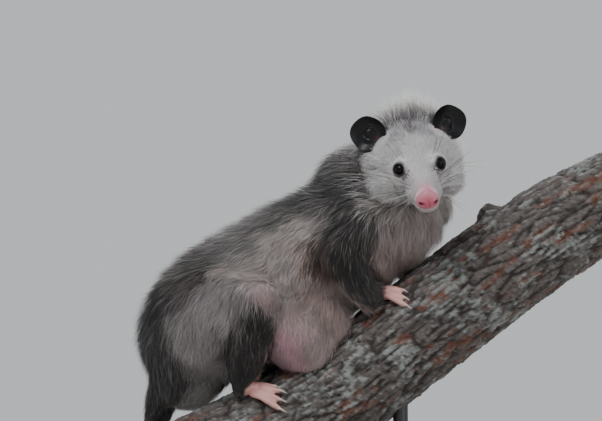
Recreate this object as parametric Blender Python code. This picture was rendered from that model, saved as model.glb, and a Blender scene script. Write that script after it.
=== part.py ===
"""A female Virginia opossum, life size, climbing a sloping cut length of limb on a plain stand.

Metres, +Z up. The origin is the centre of the stand's underside. The limb climbs towards +X, and
the animal climbs with it, turning its face to its own right, towards -Y.
"""

import math
import random

import bmesh
import bpy
from mathutils import Matrix, Vector, noise
from mathutils.bvhtree import BVHTree

GAP = 0.0003
CAP_ANGLES = (math.radians(32), math.radians(62))

# The limb's axis from the lower cut end to the upper one: x, y, z, radius
LIMB = (
    (-0.212, 0.027, 0.076, 0.050),
    (-0.140, 0.023, 0.110, 0.050),
    (-0.070, 0.018, 0.143, 0.050),
    (0.014, 0.009, 0.187, 0.049),
    (0.083, 0.000, 0.240, 0.049),
    (0.164, -0.009, 0.302, 0.049),
    (0.232, -0.018, 0.348, 0.047),
    (0.305, -0.022, 0.388, 0.043),
)
LIMB_RINGS = 20
LIMB_SIDES = 18
BARK_DEPTH = 0.0020

BASE_SIZE = (0.360, 0.230, 0.018)
BASE_CORNER = 0.030
ROD_RADIUS = 0.007
ROD_SIDES = 16
RODS = {"stand_rod_low": (-0.085, 0.019), "stand_rod_high": (0.080, 0.001)}

# The flesh with its dense underfur, from front to back: x, y, z, half width, half height
TORSO = (
    (0.091, -0.014, 0.342, 0.028, 0.034),
    (0.062, -0.008, 0.345, 0.043, 0.055),
    (0.014, -0.002, 0.325, 0.050, 0.060),
    (-0.021, 0.010, 0.303, 0.054, 0.066),
    (-0.056, 0.020, 0.279, 0.057, 0.070),
    (-0.089, 0.029, 0.258, 0.055, 0.069),
    (-0.113, 0.036, 0.233, 0.046, 0.057),
    (-0.121, 0.040, 0.204, 0.028, 0.032),
)
NECK = (
    (0.092, -0.042, 0.404, 0.030, 0.030),
    (0.086, -0.020, 0.405, 0.039, 0.038),
    (0.079, -0.012, 0.391, 0.041, 0.042),
    (0.068, -0.008, 0.360, 0.042, 0.046),
)
THIGH = (
    (-0.112, 0.002, 0.256, 0.034, 0.048),
    (-0.082, -0.022, 0.266, 0.027, 0.042),
    (-0.054, -0.038, 0.278, 0.018, 0.023),
)
SHANK = (
    (-0.050, -0.038, 0.276, 0.016, 0.019),
    (-0.057, -0.036, 0.242, 0.013, 0.016),
    (-0.068, -0.026, 0.206, 0.010, 0.011),
)
UPPER_ARM = (
    (0.052, -0.026, 0.352, 0.024, 0.032),
    (0.037, -0.042, 0.338, 0.020, 0.024),
    (0.024, -0.052, 0.323, 0.015, 0.017),
)
FOREARM = (
    (0.021, -0.052, 0.321, 0.014, 0.015),
    (0.035, -0.049, 0.298, 0.011, 0.013),
    (0.051, -0.043, 0.278, 0.009, 0.010),
)
WITHERS_PLACE = (0.046, -0.004, 0.375)
WITHERS_RADII = (0.045, 0.041, 0.048)
POUCH_PLACE = (-0.016, -0.010, 0.246)
POUCH_RADII = (0.036, 0.044, 0.050)
POUCH_TILT = -35
NAPE_BARE = 0.008
POUCH_BARE = 0.050
POUCH_TOP = 0.285

# The parts of the body that are nodes of their own, each inside an ellipsoid: its place, its radii
REGIONS = {
    "neck": ((0.087, -0.040, 0.424), (0.085, 0.085, 0.062)),
    "thigh_right": ((-0.084, -0.044, 0.262), (0.052, 0.040, 0.060)),
    "thigh_left": ((-0.088, 0.104, 0.271), (0.052, 0.040, 0.060)),
    "upper_arm_right": ((0.034, -0.062, 0.336), (0.036, 0.034, 0.044)),
    "upper_arm_left": ((0.088, 0.056, 0.358), (0.036, 0.034, 0.044)),
}
BODY_VOXEL = 0.0035
BODY_TRIANGLES = 1600
HEAD_VOXEL = 0.0020
HEAD_TRIANGLES = 1200

# Flat locks of guard hair, laid by region: length, width, height of the tips over the underfur,
# spacing of the roots
LOCKS = {
    "back": (0.076, 0.048, 0.0090, 0.043),
    "leg": (0.052, 0.034, 0.0060, 0.033),
    "ruff": (0.050, 0.032, 0.0090, 0.031),
    "crown": (0.034, 0.020, 0.0180, 0.0165),
}
# A lock's rows from the root: share of its length beyond the row before, of its rise and of its width
LOCK_ROWS = ((0.0, 0.0, 0.75), (0.36, 0.30, 1.0), (0.36, 0.75, 0.66))
LOCK_TIP = 0.28
LOCK_THICK = 0.0034
LOCK_SHARE = 0.78
LOCK_ROOT = 0.0040
LOCK_TRIES = 6000

# The far legs mirror the near ones in the spine and then move by a step along the limb
HIP_MIRROR = 0.030
SHOULDER_MIRROR = -0.005
FAR_LEG_STEP = (-0.003, 0.000, 0.009)
FAR_ARM_STEP = (0.052, 0.004, 0.026)

# Where each foot stands on the limb: axis x, degrees from its top towards the camera
FOOT_PLACES = {
    "hand_right": (0.094, 27, 8),
    "hand_left": (0.140, -38, -4),
    "foot_right": (-0.037, 38, 10),
    "foot_left": (-0.039, -44, -6),
}
FOOT_VOXEL = 0.0011
FOOT_TRIANGLES = 300
HAND_LENGTH = 0.015
FOOT_LENGTH = 0.030
# A palm from the wrist to the toes: share of the length behind the place, lift, half width, height
PALM = ((0.30, 0.0080, 0.0090, 0.0060), (0.0, 0.0050, 0.0100, 0.0052))
WRIST = (0.0075, 0.0070)
TOES = 5
TOE_STEP = 4
TOE_SWING = 9
TOE_REACH = 0.62
THUMB_REACH = 0.30
THUMB_SWING = -26
TOE_RADIUS = 0.0031
TOE_ARCH = (0.0030, 0.0052, 0.0044, 0.0024)
CLAW_RADIUS = 0.0013
CLAW_ARCH = (0.0028, 0.0034, 0.0008)
CLAW_STEP = 0.13

# The tail leaves the rump and winds round the limb: axis x, degrees, in even steps
TAIL_ROOT = (-0.140, 0.043, 0.205)
TAIL_TURN = (
    (-0.140, -52),
    (-0.146, -95),
    (-0.152, -140),
    (-0.158, -185),
    (-0.163, -230),
    (-0.167, -275),
    (-0.170, -318),
)
TAIL_RADIUS = (0.0125, 0.0050)
TAIL_CLEAR = 0.0035
TAIL_LEAP = 0.006
TAIL_SIDES = 10
TAIL_RINGS = 30

# The head in its own frame: forward, left and up from the middle of the braincase
HEAD_PLACE = (0.0905, -0.054, 0.4082)
HEAD_PITCH = 24.5
HEAD_YAW = 5.5
HEAD_ROLL = 9.5
HEAD = (
    (-0.046, 0, 0.000, 0.028, 0.028),
    (-0.027, 0, -0.002, 0.041, 0.037),
    (-0.005, 0, -0.005, 0.047, 0.041),
    (0.012, 0, -0.007, 0.044, 0.037),
    (0.030, 0, -0.008, 0.034, 0.029),
    (0.048, 0, -0.011, 0.021, 0.020),
    (0.064, 0, -0.016, 0.0150, 0.016),
    (0.077, 0, -0.0195, 0.0115, 0.0130),
)
# The line of the mouth from under the nose to its corner: x, degrees below the level
MOUTH = ((0.0740, 62), (0.0660, 50), (0.0560, 43), (0.0460, 37), (0.0380, 32))
MOUTH_GROOVE = 0.0008
LIP_THICK = 0.0014
LIP_DROP = 9
EYE_PLACE = (0.0430, 0.0163, 0.0015)
EYE_LOOK = (0.76, 0.58, 0.26)
EYE_RADIUS = 0.0052
EYE_DEPTH = 0.0024
LID_PLANE = 0.0026
LID_RADIUS = 0.0049
LID_THICK = 0.0010
LID_SIDES = 14
NOSE_PLACE = (0.0805, 0, -0.0180)
NOSE_RADII = (0.0065, 0.0104, 0.0090)
NOSTRIL_PLACE = (0.0862, 0.0052, -0.0192)
NOSTRIL_RADII = (0.0030, 0.0022, 0.0014)
EAR_PLACE = (-0.006, 0.0385, 0.0255)
EAR_LOOK = (0.86, 0.42, 0.28)
EAR_RADIUS = 0.0168
EAR_DEPTH = 0.0065
EAR_THICK = 0.0012
EAR_SIDES = 16

# Colour, roughness and metal of each material, and which nodes wear it by the start of their names
LOOKS = {
    "grey_coat": ((0.42, 0.39, 0.36), 0.85),
    "pale_face": ((0.80, 0.77, 0.72), 0.85),
    "dark_leg": ((0.06, 0.05, 0.045), 0.80),
    "bare_pink": ((0.72, 0.42, 0.38), 0.55),
    "bare_black": ((0.02, 0.02, 0.022), 0.35),
    "eye_black": ((0.01, 0.009, 0.008), 0.08),
    "tail_skin": ((0.62, 0.50, 0.45), 0.60),
    "bark": ((0.28, 0.21, 0.17), 0.90),
    "stand_paint": ((0.20, 0.20, 0.21), 0.40, 0.6),
}
SLOTS = {
    "head": "pale_face",
    "nose": "bare_pink",
    "eye": "eye_black",
    "ear": "bare_black",
    "forearm": "dark_leg",
    "shank": "dark_leg",
    "hand": "bare_pink",
    "foot": "bare_pink",
    "tail": "tail_skin",
    "limb": "bark",
    "stand": "stand_paint",
}


def clear_scene():
    for obj in list(bpy.data.objects):
        bpy.data.objects.remove(obj, do_unlink=True)


def material(name, colour, roughness, metallic=0.0):
    made = bpy.data.materials.new(name)
    made.use_nodes = True
    shader = made.node_tree.nodes["Principled BSDF"]
    shader.inputs["Base Color"].default_value = (*colour, 1)
    shader.inputs["Roughness"].default_value = roughness
    shader.inputs["Metallic"].default_value = metallic
    return made


def new_object(name, bm):
    """Turn a bmesh into an object with its faces pointing out."""
    bmesh.ops.recalc_face_normals(bm, faces=bm.faces)
    mesh = bpy.data.meshes.new(name)
    bm.to_mesh(mesh)
    bm.free()
    obj = bpy.data.objects.new(name, mesh)
    bpy.context.scene.collection.objects.link(obj)
    return obj


def copy_of(obj, name):
    made = bpy.data.objects.new(name, obj.data.copy())
    bpy.context.scene.collection.objects.link(made)
    return made


def drop(*objects):
    for obj in objects:
        bpy.data.objects.remove(obj, do_unlink=True)


def apply_modifiers(obj):
    bpy.context.view_layer.update()
    depsgraph = bpy.context.evaluated_depsgraph_get()
    mesh = bpy.data.meshes.new_from_object(obj.evaluated_get(depsgraph))
    obj.modifiers.clear()
    obj.data = mesh


def boolean(obj, other, operation, solver="EXACT"):
    cut = obj.modifiers.new(operation.lower(), "BOOLEAN")
    cut.operation = operation
    cut.solver = solver
    cut.object = other
    apply_modifiers(obj)


def grown(obj, by=GAP):
    """Copy an object with its surface pushed out by a small distance."""
    made = copy_of(obj, obj.name + "_grown")
    normals = [vert.normal.copy() for vert in made.data.vertices]
    for vert, normal in zip(made.data.vertices, normals):
        vert.co += normal * by * 1.1
    made.hide_render = True
    made.display_type = "WIRE"
    return made


def carve(obj, *others, solver="EXACT"):
    """Cut an object back to the gap that it keeps from each of the others."""
    for other in others:
        cutter = grown(other)
        boolean(obj, cutter, "DIFFERENCE", solver)
        drop(cutter)
    keep_largest(obj)


def keep_largest(obj):
    """Leave only the closed surface that holds the most."""
    bm = bmesh.new()
    bm.from_mesh(obj.data)
    bmesh.ops.triangulate(bm, faces=bm.faces)
    unseen = set(bm.verts)
    islands = []
    while unseen:
        island = [unseen.pop()]
        for vert in island:
            for edge in vert.link_edges:
                other = edge.other_vert(vert)
                if other in unseen:
                    unseen.discard(other)
                    island.append(other)
        islands.append(island)

    def volume(island):
        faces = {face for vert in island for face in vert.link_faces}
        return sum(f.verts[0].co.dot(f.verts[1].co.cross(f.verts[2].co)) for f in faces)

    islands.sort(key=volume)
    bmesh.ops.delete(bm, geom=[vert for island in islands[:-1] for vert in island], context="VERTS")
    bm.to_mesh(obj.data)
    bm.free()


def smooth_path(points, count):
    """Spread a number of points along a smooth curve through tuples of any length."""
    last = len(points) - 1
    path = []
    for step in range(count):
        place = last * step / (count - 1)
        first = min(int(place), last - 1)
        t = place - first
        near = [points[min(max(first + shift, 0), last)] for shift in (-1, 0, 1, 2)]
        path.append(tuple(
            b + 0.5 * t * (c - a + t * (2 * a - 5 * b + 4 * c - d + t * (3 * (b - c) + d - a)))
            for a, b, c, d in zip(*near)
        ))
    return path


def rings_along(path, side, grow=0.0):
    """Centre, tangent, half width and half height at each station of a path, the width along side."""
    centres = [Vector(station[:3]) for station in path]
    side = Vector(side)
    rings = []
    for i, (*_, half_width, half_height) in enumerate(path):
        tangent = (centres[min(i + 1, len(path) - 1)] - centres[max(i - 1, 0)]).normalized()
        width = (side - side.dot(tangent) * tangent).normalized()
        height = tangent.cross(width)
        rings.append((centres[i], tangent, width * (half_width + grow), height * (half_height + grow)))
    return rings


def skin_over(name, rings, sides, ends=(1.0, 1.0)):
    """Close a tube over rings. Each end is a half ellipsoid of that depth, or flat where it is zero."""
    rings = list(rings)
    poles = []
    for end, depth in enumerate(ends):
        centre, tangent, width, height = rings[-end]
        out = tangent * width.length * depth * (1 if end else -1)
        poles.append(centre + out)
        for angle in CAP_ANGLES if depth else ():
            shrink = math.cos(angle)
            ring = (centre + out * math.sin(angle), tangent, width * shrink, height * shrink)
            rings.insert(len(rings) if end else 0, ring)
    bm = bmesh.new()
    turns = [2 * math.pi * k / sides for k in range(sides)]
    rows = [[bm.verts.new(centre + width * math.cos(a) + height * math.sin(a)) for a in turns]
            for centre, _, width, height in rings]
    for low, high in zip(rows, rows[1:]):
        for k in range(sides):
            bm.faces.new((low[k - 1], low[k], high[k], high[k - 1]))
    for end, depth in enumerate(ends):
        row = rows[-end]
        if not depth:
            bm.faces.new(row)
            continue
        pole = bm.verts.new(poles[end])
        for k in range(sides):
            bm.faces.new((row[k - 1], row[k], pole))
    return new_object(name, bm)


def tube(name, stations, side, rings, sides, grow=0.0, ends=(1.0, 1.0)):
    """Loft ellipses along a smooth curve through stations of x, y, z, half width, half height."""
    return skin_over(name, rings_along(smooth_path(stations, rings), side, grow), sides, ends)


def ellipsoid(name, centre, radii, turn=None, segments=14, rings=8):
    bm = bmesh.new()
    bmesh.ops.create_uvsphere(bm, u_segments=segments, v_segments=rings, radius=1)
    shape = (turn or Matrix()).to_4x4() @ Matrix.Diagonal((*radii, 1))
    bmesh.ops.transform(bm, verts=bm.verts, matrix=Matrix.Translation(centre) @ shape)
    return new_object(name, bm)


def thin_out(obj, share):
    """Merge the smallest facets until that share of them is left."""
    thin = obj.modifiers.new("thin", "DECIMATE")
    thin.ratio = share
    apply_modifiers(obj)


def fuse(name, pieces, voxel, smoothing, triangles):
    """Melt overlapping closed pieces into one smooth body of about that many triangles."""
    bm = bmesh.new()
    for piece in pieces:
        bm.from_mesh(piece.data)
    drop(*pieces)
    body = new_object(name, bm)
    melt = body.modifiers.new("melt", "REMESH")
    melt.mode = "VOXEL"
    melt.voxel_size = voxel
    soften = body.modifiers.new("soften", "SMOOTH")
    soften.iterations = smoothing
    apply_modifiers(body)
    keep_largest(body)
    thin_out(body, triangles / len(body.data.polygons))
    return body


def part_off(body, name, region):
    """Take the part of a body inside a closed region, and leave the gap round it."""
    piece = copy_of(body, name)
    boolean(piece, region, "INTERSECT", "MANIFOLD")
    keep_largest(piece)
    carve(body, region, solver="MANIFOLD")
    drop(region)
    return piece


def far_side(stations, mirror, step):
    dx, dy, dz = step
    return tuple((x + dx, 2 * mirror - y + dy, z + dz, w, h) for x, y, z, w, h in stations)


def limb_frame(x):
    """The limb's axis point above x, its tangent, top and near directions, and its radius."""
    path = smooth_path(LIMB, 60)
    index = min(range(1, 59), key=lambda i: abs(path[i][0] - x))
    before, after = (Vector(path[index + shift][:3]) for shift in (-1, 1))
    tangent = (after - before).normalized()
    centre = Vector(path[index][:3]) + tangent * (x - path[index][0]) / tangent.x
    near = Vector((0, -1, 0))
    near = (near - near.dot(tangent) * tangent).normalized()
    return centre, tangent, near.cross(tangent), near, path[index][3]


def on_limb(x, degrees, lift):
    """A point over the bark, at an angle from the limb's top towards the camera."""
    centre, _, top, near, radius = limb_frame(x)
    angle = math.radians(degrees)
    return centre + (radius + lift) * (math.cos(angle) * top + math.sin(angle) * near)


def make_limb():
    """Bark in long furrows, roughened along its length and sawn flat at both ends."""
    stations = [(x, y, z, r, r) for x, y, z, r in LIMB]
    limb = tube("limb", stations, (0, -1, 0), LIMB_RINGS, LIMB_SIDES, ends=(0, 0))
    for vert in limb.data.vertices:
        centre, tangent, top, near, _ = limb_frame(vert.co.x)
        out = vert.co - centre
        out -= out.dot(tangent) * tangent
        around = math.atan2(out.dot(near), out.dot(top))
        cell = Vector((math.cos(around) * 3.2, math.sin(around) * 3.2, vert.co.x * 9))
        vert.co += out.normalized() * BARK_DEPTH * (noise.noise(cell) * 1.6 - 0.3)
    return limb


def make_stand(limb):
    length, width, height = BASE_SIZE
    bm = bmesh.new()
    bmesh.ops.create_cube(bm, size=1)
    bmesh.ops.scale(bm, vec=BASE_SIZE, verts=bm.verts)
    bmesh.ops.translate(bm, vec=(0, 0, height / 2), verts=bm.verts)
    corners = [e for e in bm.edges if abs(e.verts[0].co.z - e.verts[1].co.z) > height / 2]
    bmesh.ops.bevel(bm, geom=corners, offset=BASE_CORNER, segments=6, profile=0.5, affect="EDGES")
    top = [e for e in bm.edges if all(v.co.z > height * 0.9 for v in e.verts)]
    bmesh.ops.bevel(bm, geom=top, offset=0.002, segments=2, profile=0.5, affect="EDGES")
    made = [new_object("stand_base", bm)]
    for name, (x, y) in RODS.items():
        foot = (x, y, height + GAP, ROD_RADIUS, ROD_RADIUS)
        head = (x, y, limb_frame(x)[0].z, ROD_RADIUS, ROD_RADIUS)
        rod = tube(name, (foot, head), (0, 1, 0), 2, ROD_SIDES, ends=(0, 0))
        carve(rod, limb)
        made.append(rod)
    return made


def make_body():
    """Torso, neck, thighs and upper arms in one, before it is parted."""
    turn = Matrix.Rotation(math.radians(POUCH_TILT), 3, "Y")
    across = (0, 1, 0)
    far_thigh = far_side(THIGH, HIP_MIRROR, FAR_LEG_STEP)
    far_arm = far_side(UPPER_ARM, SHOULDER_MIRROR, FAR_ARM_STEP)
    pieces = [
        tube("mass", TORSO, across, 30, 24),
        tube("mass", NECK, (1, 0, 0), 12, 20),
        tube("mass", THIGH, across, 10, 16),
        tube("mass", far_thigh, across, 10, 16),
        tube("mass", UPPER_ARM, across, 10, 16),
        tube("mass", far_arm, across, 10, 16),
        ellipsoid("mass", WITHERS_PLACE, WITHERS_RADII),
        ellipsoid("mass", POUCH_PLACE, POUCH_RADII, turn),
    ]
    return fuse("torso", pieces, BODY_VOXEL, 6, BODY_TRIANGLES)


def body_coat(limb, head):
    """A function that tells which locks grow at a point of the body, and which way they lie."""
    from_limb, from_head = nearness(limb), nearness(head)

    def coat(point):
        on_pouch = (point - Vector(POUCH_PLACE)).length < POUCH_BARE and point.z < POUCH_TOP
        if on_pouch or from_limb(point) < 0.014 or from_head(point) < NAPE_BARE:
            return None
        nearest = min(TORSO, key=lambda station: (Vector(station[:3]) - point).length)
        index = min(TORSO.index(nearest), len(TORSO) - 2)
        rearward = (Vector(TORSO[index + 1][:3]) - Vector(TORSO[index][:3])).normalized()
        if point.x > 0.030 and point.z > 0.330:
            near = point.y < 0.010
            return "ruff", Vector((-0.45, 0.10, -0.75)) if near else Vector((-0.60, 0.25, -0.55))
        if abs(point.y - HIP_MIRROR) > 0.052 and point.x < -0.030:
            return "leg", rearward * 0.35 + Vector((0.10, 0, -0.80))
        return "back", rearward + Vector((0, 0, -0.35))

    return coat


def head_coat(point):
    """The longer hair behind the ears, in the head's own frame: it stands up along the crown."""
    x, y, z = point
    by_ear = (Vector((x, abs(y), z)) - Vector(EAR_PLACE)).length < EAR_RADIUS * 0.8
    if x > -0.016 or z < 0.008 or by_ear:
        return None
    return "crown", Vector((-0.6, y * 8, 0.75))


def lock_mesh(tree, root, lie, kind, draw):
    """A flat tapered lock that leaves the underfur at its root and follows it to its tip."""
    length, width, rise, _ = LOCKS[kind]
    length *= draw.uniform(0.85, 1.15)
    width *= draw.uniform(0.85, 1.10)
    rise *= draw.uniform(0.75, 1.15)
    place, out, _, _ = tree.find_nearest(root)
    lie = Matrix.Rotation(draw.uniform(-0.25, 0.25), 3, out) @ lie
    bm = bmesh.new()
    rows = []
    for step, height, broad in LOCK_ROWS:
        place, normal, _, _ = tree.find_nearest(place + lie * length * step)
        out = (out + normal).normalized()
        lie = (lie - lie.dot(out) * out).normalized()
        across = out.cross(lie) * width / 2 * broad
        middle = place + out * (rise * height - (0 if rows else LOCK_ROOT))
        ridge = out * LOCK_THICK * (0.4 + 0.6 * broad)
        rows.append([bm.verts.new(middle + offset) for offset in (across, ridge, -across)])
    place, normal, _, _ = tree.find_nearest(place + lie * length * LOCK_TIP)
    tip = bm.verts.new(place + (out + normal).normalized() * rise)
    bm.faces.new(rows[0])
    for low, high in zip(rows, rows[1:]):
        for k in range(3):
            bm.faces.new((low[k - 1], low[k], high[k]))
            bm.faces.new((low[k - 1], high[k], high[k - 1]))
    for k in range(3):
        bm.faces.new((rows[-1][k - 1], rows[-1][k], tip))
    return bm


def folds(bm):
    """Tell whether facets of a mesh run through each other."""
    bm.faces.ensure_lookup_table()
    tree = BVHTree.FromBMesh(bm)
    corners = [set(face.verts) for face in bm.faces]
    return any(not corners[a] & corners[b] for a, b in tree.overlap(tree))


def grow_locks(body, coat_at, seed):
    """Spread locks evenly wherever the coat has them, and fuse them with the body."""
    draw = random.Random(seed)
    bm = bmesh.new()
    bm.from_mesh(body.data)
    bmesh.ops.triangulate(bm, faces=bm.faces)
    tree = BVHTree.FromBMesh(bm)
    faces = list(bm.faces)
    areas = [face.calc_area() for face in faces]
    coat = bpy.data.collections.new("coat")
    bpy.context.scene.collection.children.link(coat)
    roots = []
    for face in draw.choices(faces, areas, k=LOCK_TRIES):
        u, v = sorted((draw.random(), draw.random()))
        a, b, c = (vert.co for vert in face.verts)
        root = a * u + b * (v - u) + c * (1 - v)
        found = coat_at(root)
        if not found or any((root - other).length < LOCKS[found[0]][3] for other in roots):
            continue
        shape = lock_mesh(tree, root, found[1], found[0], draw)
        if folds(shape):
            shape.free()
            continue
        roots.append(root)
        lock = new_object("lock", shape)
        bpy.context.scene.collection.objects.unlink(lock)
        coat.objects.link(lock)
    bm.free()
    union = body.modifiers.new("coat", "BOOLEAN")
    union.operation = "UNION"
    union.solver = "MANIFOLD"
    union.operand_type = "COLLECTION"
    union.collection = coat
    apply_modifiers(body)
    drop(*coat.objects)
    bpy.data.collections.remove(coat)
    keep_largest(body)
    thin_out(body, LOCK_SHARE)


def nearness(obj):
    """A function that tells how far a point lies from an object's surface."""
    bm = bmesh.new()
    bm.from_mesh(obj.data)
    tree = BVHTree.FromBMesh(bm)
    bm.free()
    return lambda point: tree.find_nearest(point)[3]


def part_body(body):
    """Part the neck and the upper legs from the torso."""
    return [part_off(body, name, ellipsoid("region", *region)) for name, region in REGIONS.items()]


def lower_leg_stations():
    return {
        "forearm_right": FOREARM,
        "forearm_left": far_side(FOREARM, SHOULDER_MIRROR, FAR_ARM_STEP),
        "shank_right": SHANK,
        "shank_left": far_side(SHANK, HIP_MIRROR, FAR_LEG_STEP),
    }


def make_lower_legs(limb):
    """Forearms and shanks, each with the foot that it stands on."""
    made = []
    ends = ("hand_right", "hand_left", "foot_right", "foot_left")
    for (name, stations), foot in zip(lower_leg_stations().items(), ends):
        leg = tube(name, stations, (0, 1, 0), 5, 9, grow=0.002)
        carve(leg, limb)
        made += [leg, make_foot(foot, limb, leg, stations[-1][:3])]
    return made


def make_foot(name, limb, lower_leg, wrist):
    """A palm and five toes with claws, spread over the bark."""
    x, degrees, lean = FOOT_PLACES[name]
    length = HAND_LENGTH if name.startswith("hand") else FOOT_LENGTH
    turn = math.copysign(1, degrees)
    palm = [(*wrist, *WRIST)]
    for behind, lift, half_width, half_height in PALM:
        palm.append((*on_limb(x - length * behind, degrees, lift), half_width, half_height))
    pieces = [tube("toe", palm, limb_frame(x)[3], 8, 12)]
    for toe in range(TOES):
        spread = (toe - 2) / 2
        start = (x + 0.002 - abs(spread) * 0.003, degrees + (toe - 2) * TOE_STEP)
        reach = length * TOE_REACH * (1 - 0.18 * abs(spread)) if toe else length * THUMB_REACH
        swing = (spread * TOE_SWING + lean if toe else THUMB_SWING * turn) + turn * TOE_SWING
        route = []
        for step, lift in enumerate(TOE_ARCH):
            share = step / (len(TOE_ARCH) - 1)
            thick = TOE_RADIUS * (1 - 0.25 * share)
            route.append((*on_limb(start[0] + reach * share, start[1] + swing * share, lift), thick, thick))
        claw = []
        for step, lift in enumerate(CLAW_ARCH):
            share = 1 + step * CLAW_STEP
            thick = CLAW_RADIUS * (1 - 0.38 * step)
            claw.append((*on_limb(start[0] + reach * share, start[1] + swing * share, lift), thick, thick))
        side = limb_frame(x)[3]
        pieces += [tube("toe", route, side, 6, 8), tube("toe", claw, side, 4, 6)]
    foot = fuse(name, pieces, FOOT_VOXEL, 2, FOOT_TRIANGLES)
    carve(foot, limb, lower_leg)
    return foot


def make_tail():
    """Three lengths of one tail, wound round the limb."""
    start, tip = TAIL_RADIUS
    count = len(TAIL_TURN)
    route = [(*TAIL_ROOT, start, start)]
    for step, (x, degrees) in enumerate(TAIL_TURN):
        radius = start + (tip - start) * (step + 1) / count
        lift = radius + TAIL_CLEAR + (0 if step else TAIL_LEAP)
        route.append((*on_limb(x, degrees, lift), radius, radius))
    rings = rings_along(smooth_path(route, TAIL_RINGS), (1, 0.2, 0))
    third = TAIL_RINGS // 3
    made = []
    for number, name in enumerate(("tail_base", "tail_middle", "tail_tip")):
        stretch = rings[number * third:(number + 1) * third + 1]
        if number:
            centre, tangent, width, height = stretch[0]
            stretch[0] = (centre + tangent * GAP, tangent, width, height)
        made.append(skin_over(name, stretch, TAIL_SIDES, ends=(0, 1.0 if number == 2 else 0)))
    return made


def head_frame():
    pitch, yaw, roll = (math.radians(a) for a in (HEAD_PITCH, HEAD_YAW, HEAD_ROLL))
    flat = math.cos(pitch)
    forward = Vector((math.sin(yaw) * flat, -math.cos(yaw) * flat, -math.sin(pitch)))
    level = Vector((0, 0, 1)).cross(forward).normalized()
    plumb = forward.cross(level)
    left = level * math.cos(roll) + plumb * math.sin(roll)
    up = plumb * math.cos(roll) - level * math.sin(roll)
    turn = Matrix((forward, left, up)).transposed().to_4x4()
    return Matrix.Translation(HEAD_PLACE) @ turn


def facing(look):
    """A turn that carries +Z to the look direction."""
    return Vector(look).to_track_quat("Z", "Y").to_matrix()


def make_ear(name, side, head):
    """A thin round cup on a short stalk, cut to the head."""
    x, y, z = EAR_PLACE
    look = Vector((EAR_LOOK[0], EAR_LOOK[1] * side, EAR_LOOK[2])).normalized()
    inner = [(share * EAR_RADIUS, -EAR_DEPTH * (1 - share ** 2)) for share in (0.0, 0.55, 0.96)]
    rim = [(EAR_RADIUS, -EAR_THICK * 0.4)]
    outer = [(r * 1.02, depth - EAR_THICK) for r, depth in reversed(inner)]
    bm = bmesh.new()
    rows = []
    for radius, depth in inner + rim + outer:
        count = EAR_SIDES if radius else 1
        turns = [2 * math.pi * k / count for k in range(count)]
        rows.append([bm.verts.new((radius * math.cos(a), radius * math.sin(a), depth)) for a in turns])
    for low, high in zip(rows, rows[1:]):
        for k in range(EAR_SIDES):
            corners = (low[k % len(low)], low[(k + 1) % len(low)],
                       high[(k + 1) % len(high)], high[k % len(high)])
            bm.faces.new(list(dict.fromkeys(corners)))
    place = Matrix.Translation((x, y * side, z)) @ facing(look).to_4x4()
    bmesh.ops.transform(bm, verts=bm.verts, matrix=place)
    ear = new_object(name, bm)
    centre = Vector((x, y * side, z)) - look * (EAR_DEPTH + EAR_THICK)
    root = Vector((x - 0.0064, y * side * 0.60, z * 0.45))
    stalk = tube("stalk", ((*root, 0.010, 0.007), (*(root.lerp(centre, 0.6)), 0.009, 0.006),
                           (*(centre + look * 0.0006), 0.006, 0.004)), (0, 0, 1), 4, 8)
    boolean(ear, stalk, "UNION", "MANIFOLD")
    drop(stalk)
    carve(ear, head, solver="MANIFOLD")
    return ear


def on_surface(obj, through, look):
    """The point where a line through a place, along a look, leaves an object."""
    bm = bmesh.new()
    bm.from_mesh(obj.data)
    tree = BVHTree.FromBMesh(bm)
    bm.free()
    return tree.ray_cast(Vector(through) + look * 0.1, -look)[0]


def make_lids(name, eye, turn):
    """A low rim that closes over the edge of an eye."""
    bm = bmesh.new()
    rows = []
    for k in range(LID_SIDES):
        around = 2 * math.pi * k / LID_SIDES
        row = []
        for j in range(5):
            wrap = math.pi * j / 2.5
            reach = LID_RADIUS + LID_THICK * math.cos(wrap)
            height = LID_PLANE + LID_THICK * math.sin(wrap)
            point = Vector((reach * math.cos(around), reach * math.sin(around), height))
            row.append(bm.verts.new(eye + turn @ point))
        rows.append(row)
    for k in range(LID_SIDES):
        for j in range(5):
            bm.faces.new((rows[k - 1][j - 1], rows[k][j - 1], rows[k][j], rows[k - 1][j]))
    return new_object(name, bm)


def make_eye(name, side, head):
    """An eye, and the lids round it on the head."""
    x, y, z = EYE_LOOK
    look = Vector((x, y * side, z)).normalized()
    x, y, z = EYE_PLACE
    place = on_surface(head, (x, y * side, z), look) - look * EYE_DEPTH
    turn = facing(look)
    rim = make_lids("rim", place, turn)
    boolean(head, rim, "UNION")
    drop(rim)
    return ellipsoid(name, place, (EYE_RADIUS,) * 3, turn, segments=12, rings=8)


def make_mouth(head):
    """Cut the line of the mouth into the muzzle, with a thin lip along its lower side."""
    line = []
    lip = []
    for side in (1, -1):
        for x, degrees in MOUTH if side < 0 else MOUTH[::-1]:
            for stations, drop_by, thick in ((line, 0, MOUTH_GROOVE), (lip, LIP_DROP, LIP_THICK)):
                angle = math.radians(degrees + drop_by)
                look = Vector((0, side * math.cos(angle), -math.sin(angle)))
                place = on_surface(head, (x, 0, HEAD[5][2]), look)
                depth = thick * (0.35 if stations is lip else 0)
                stations.append((*(place - look * depth), thick, thick))
    lower = tube("lip", lip, (0, 0.3, 1), 9, 4)
    groove = tube("groove", line, (0, 0.3, 1), 9, 4)
    boolean(head, lower, "UNION")
    boolean(head, groove, "DIFFERENCE")
    drop(lower, groove)


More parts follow.
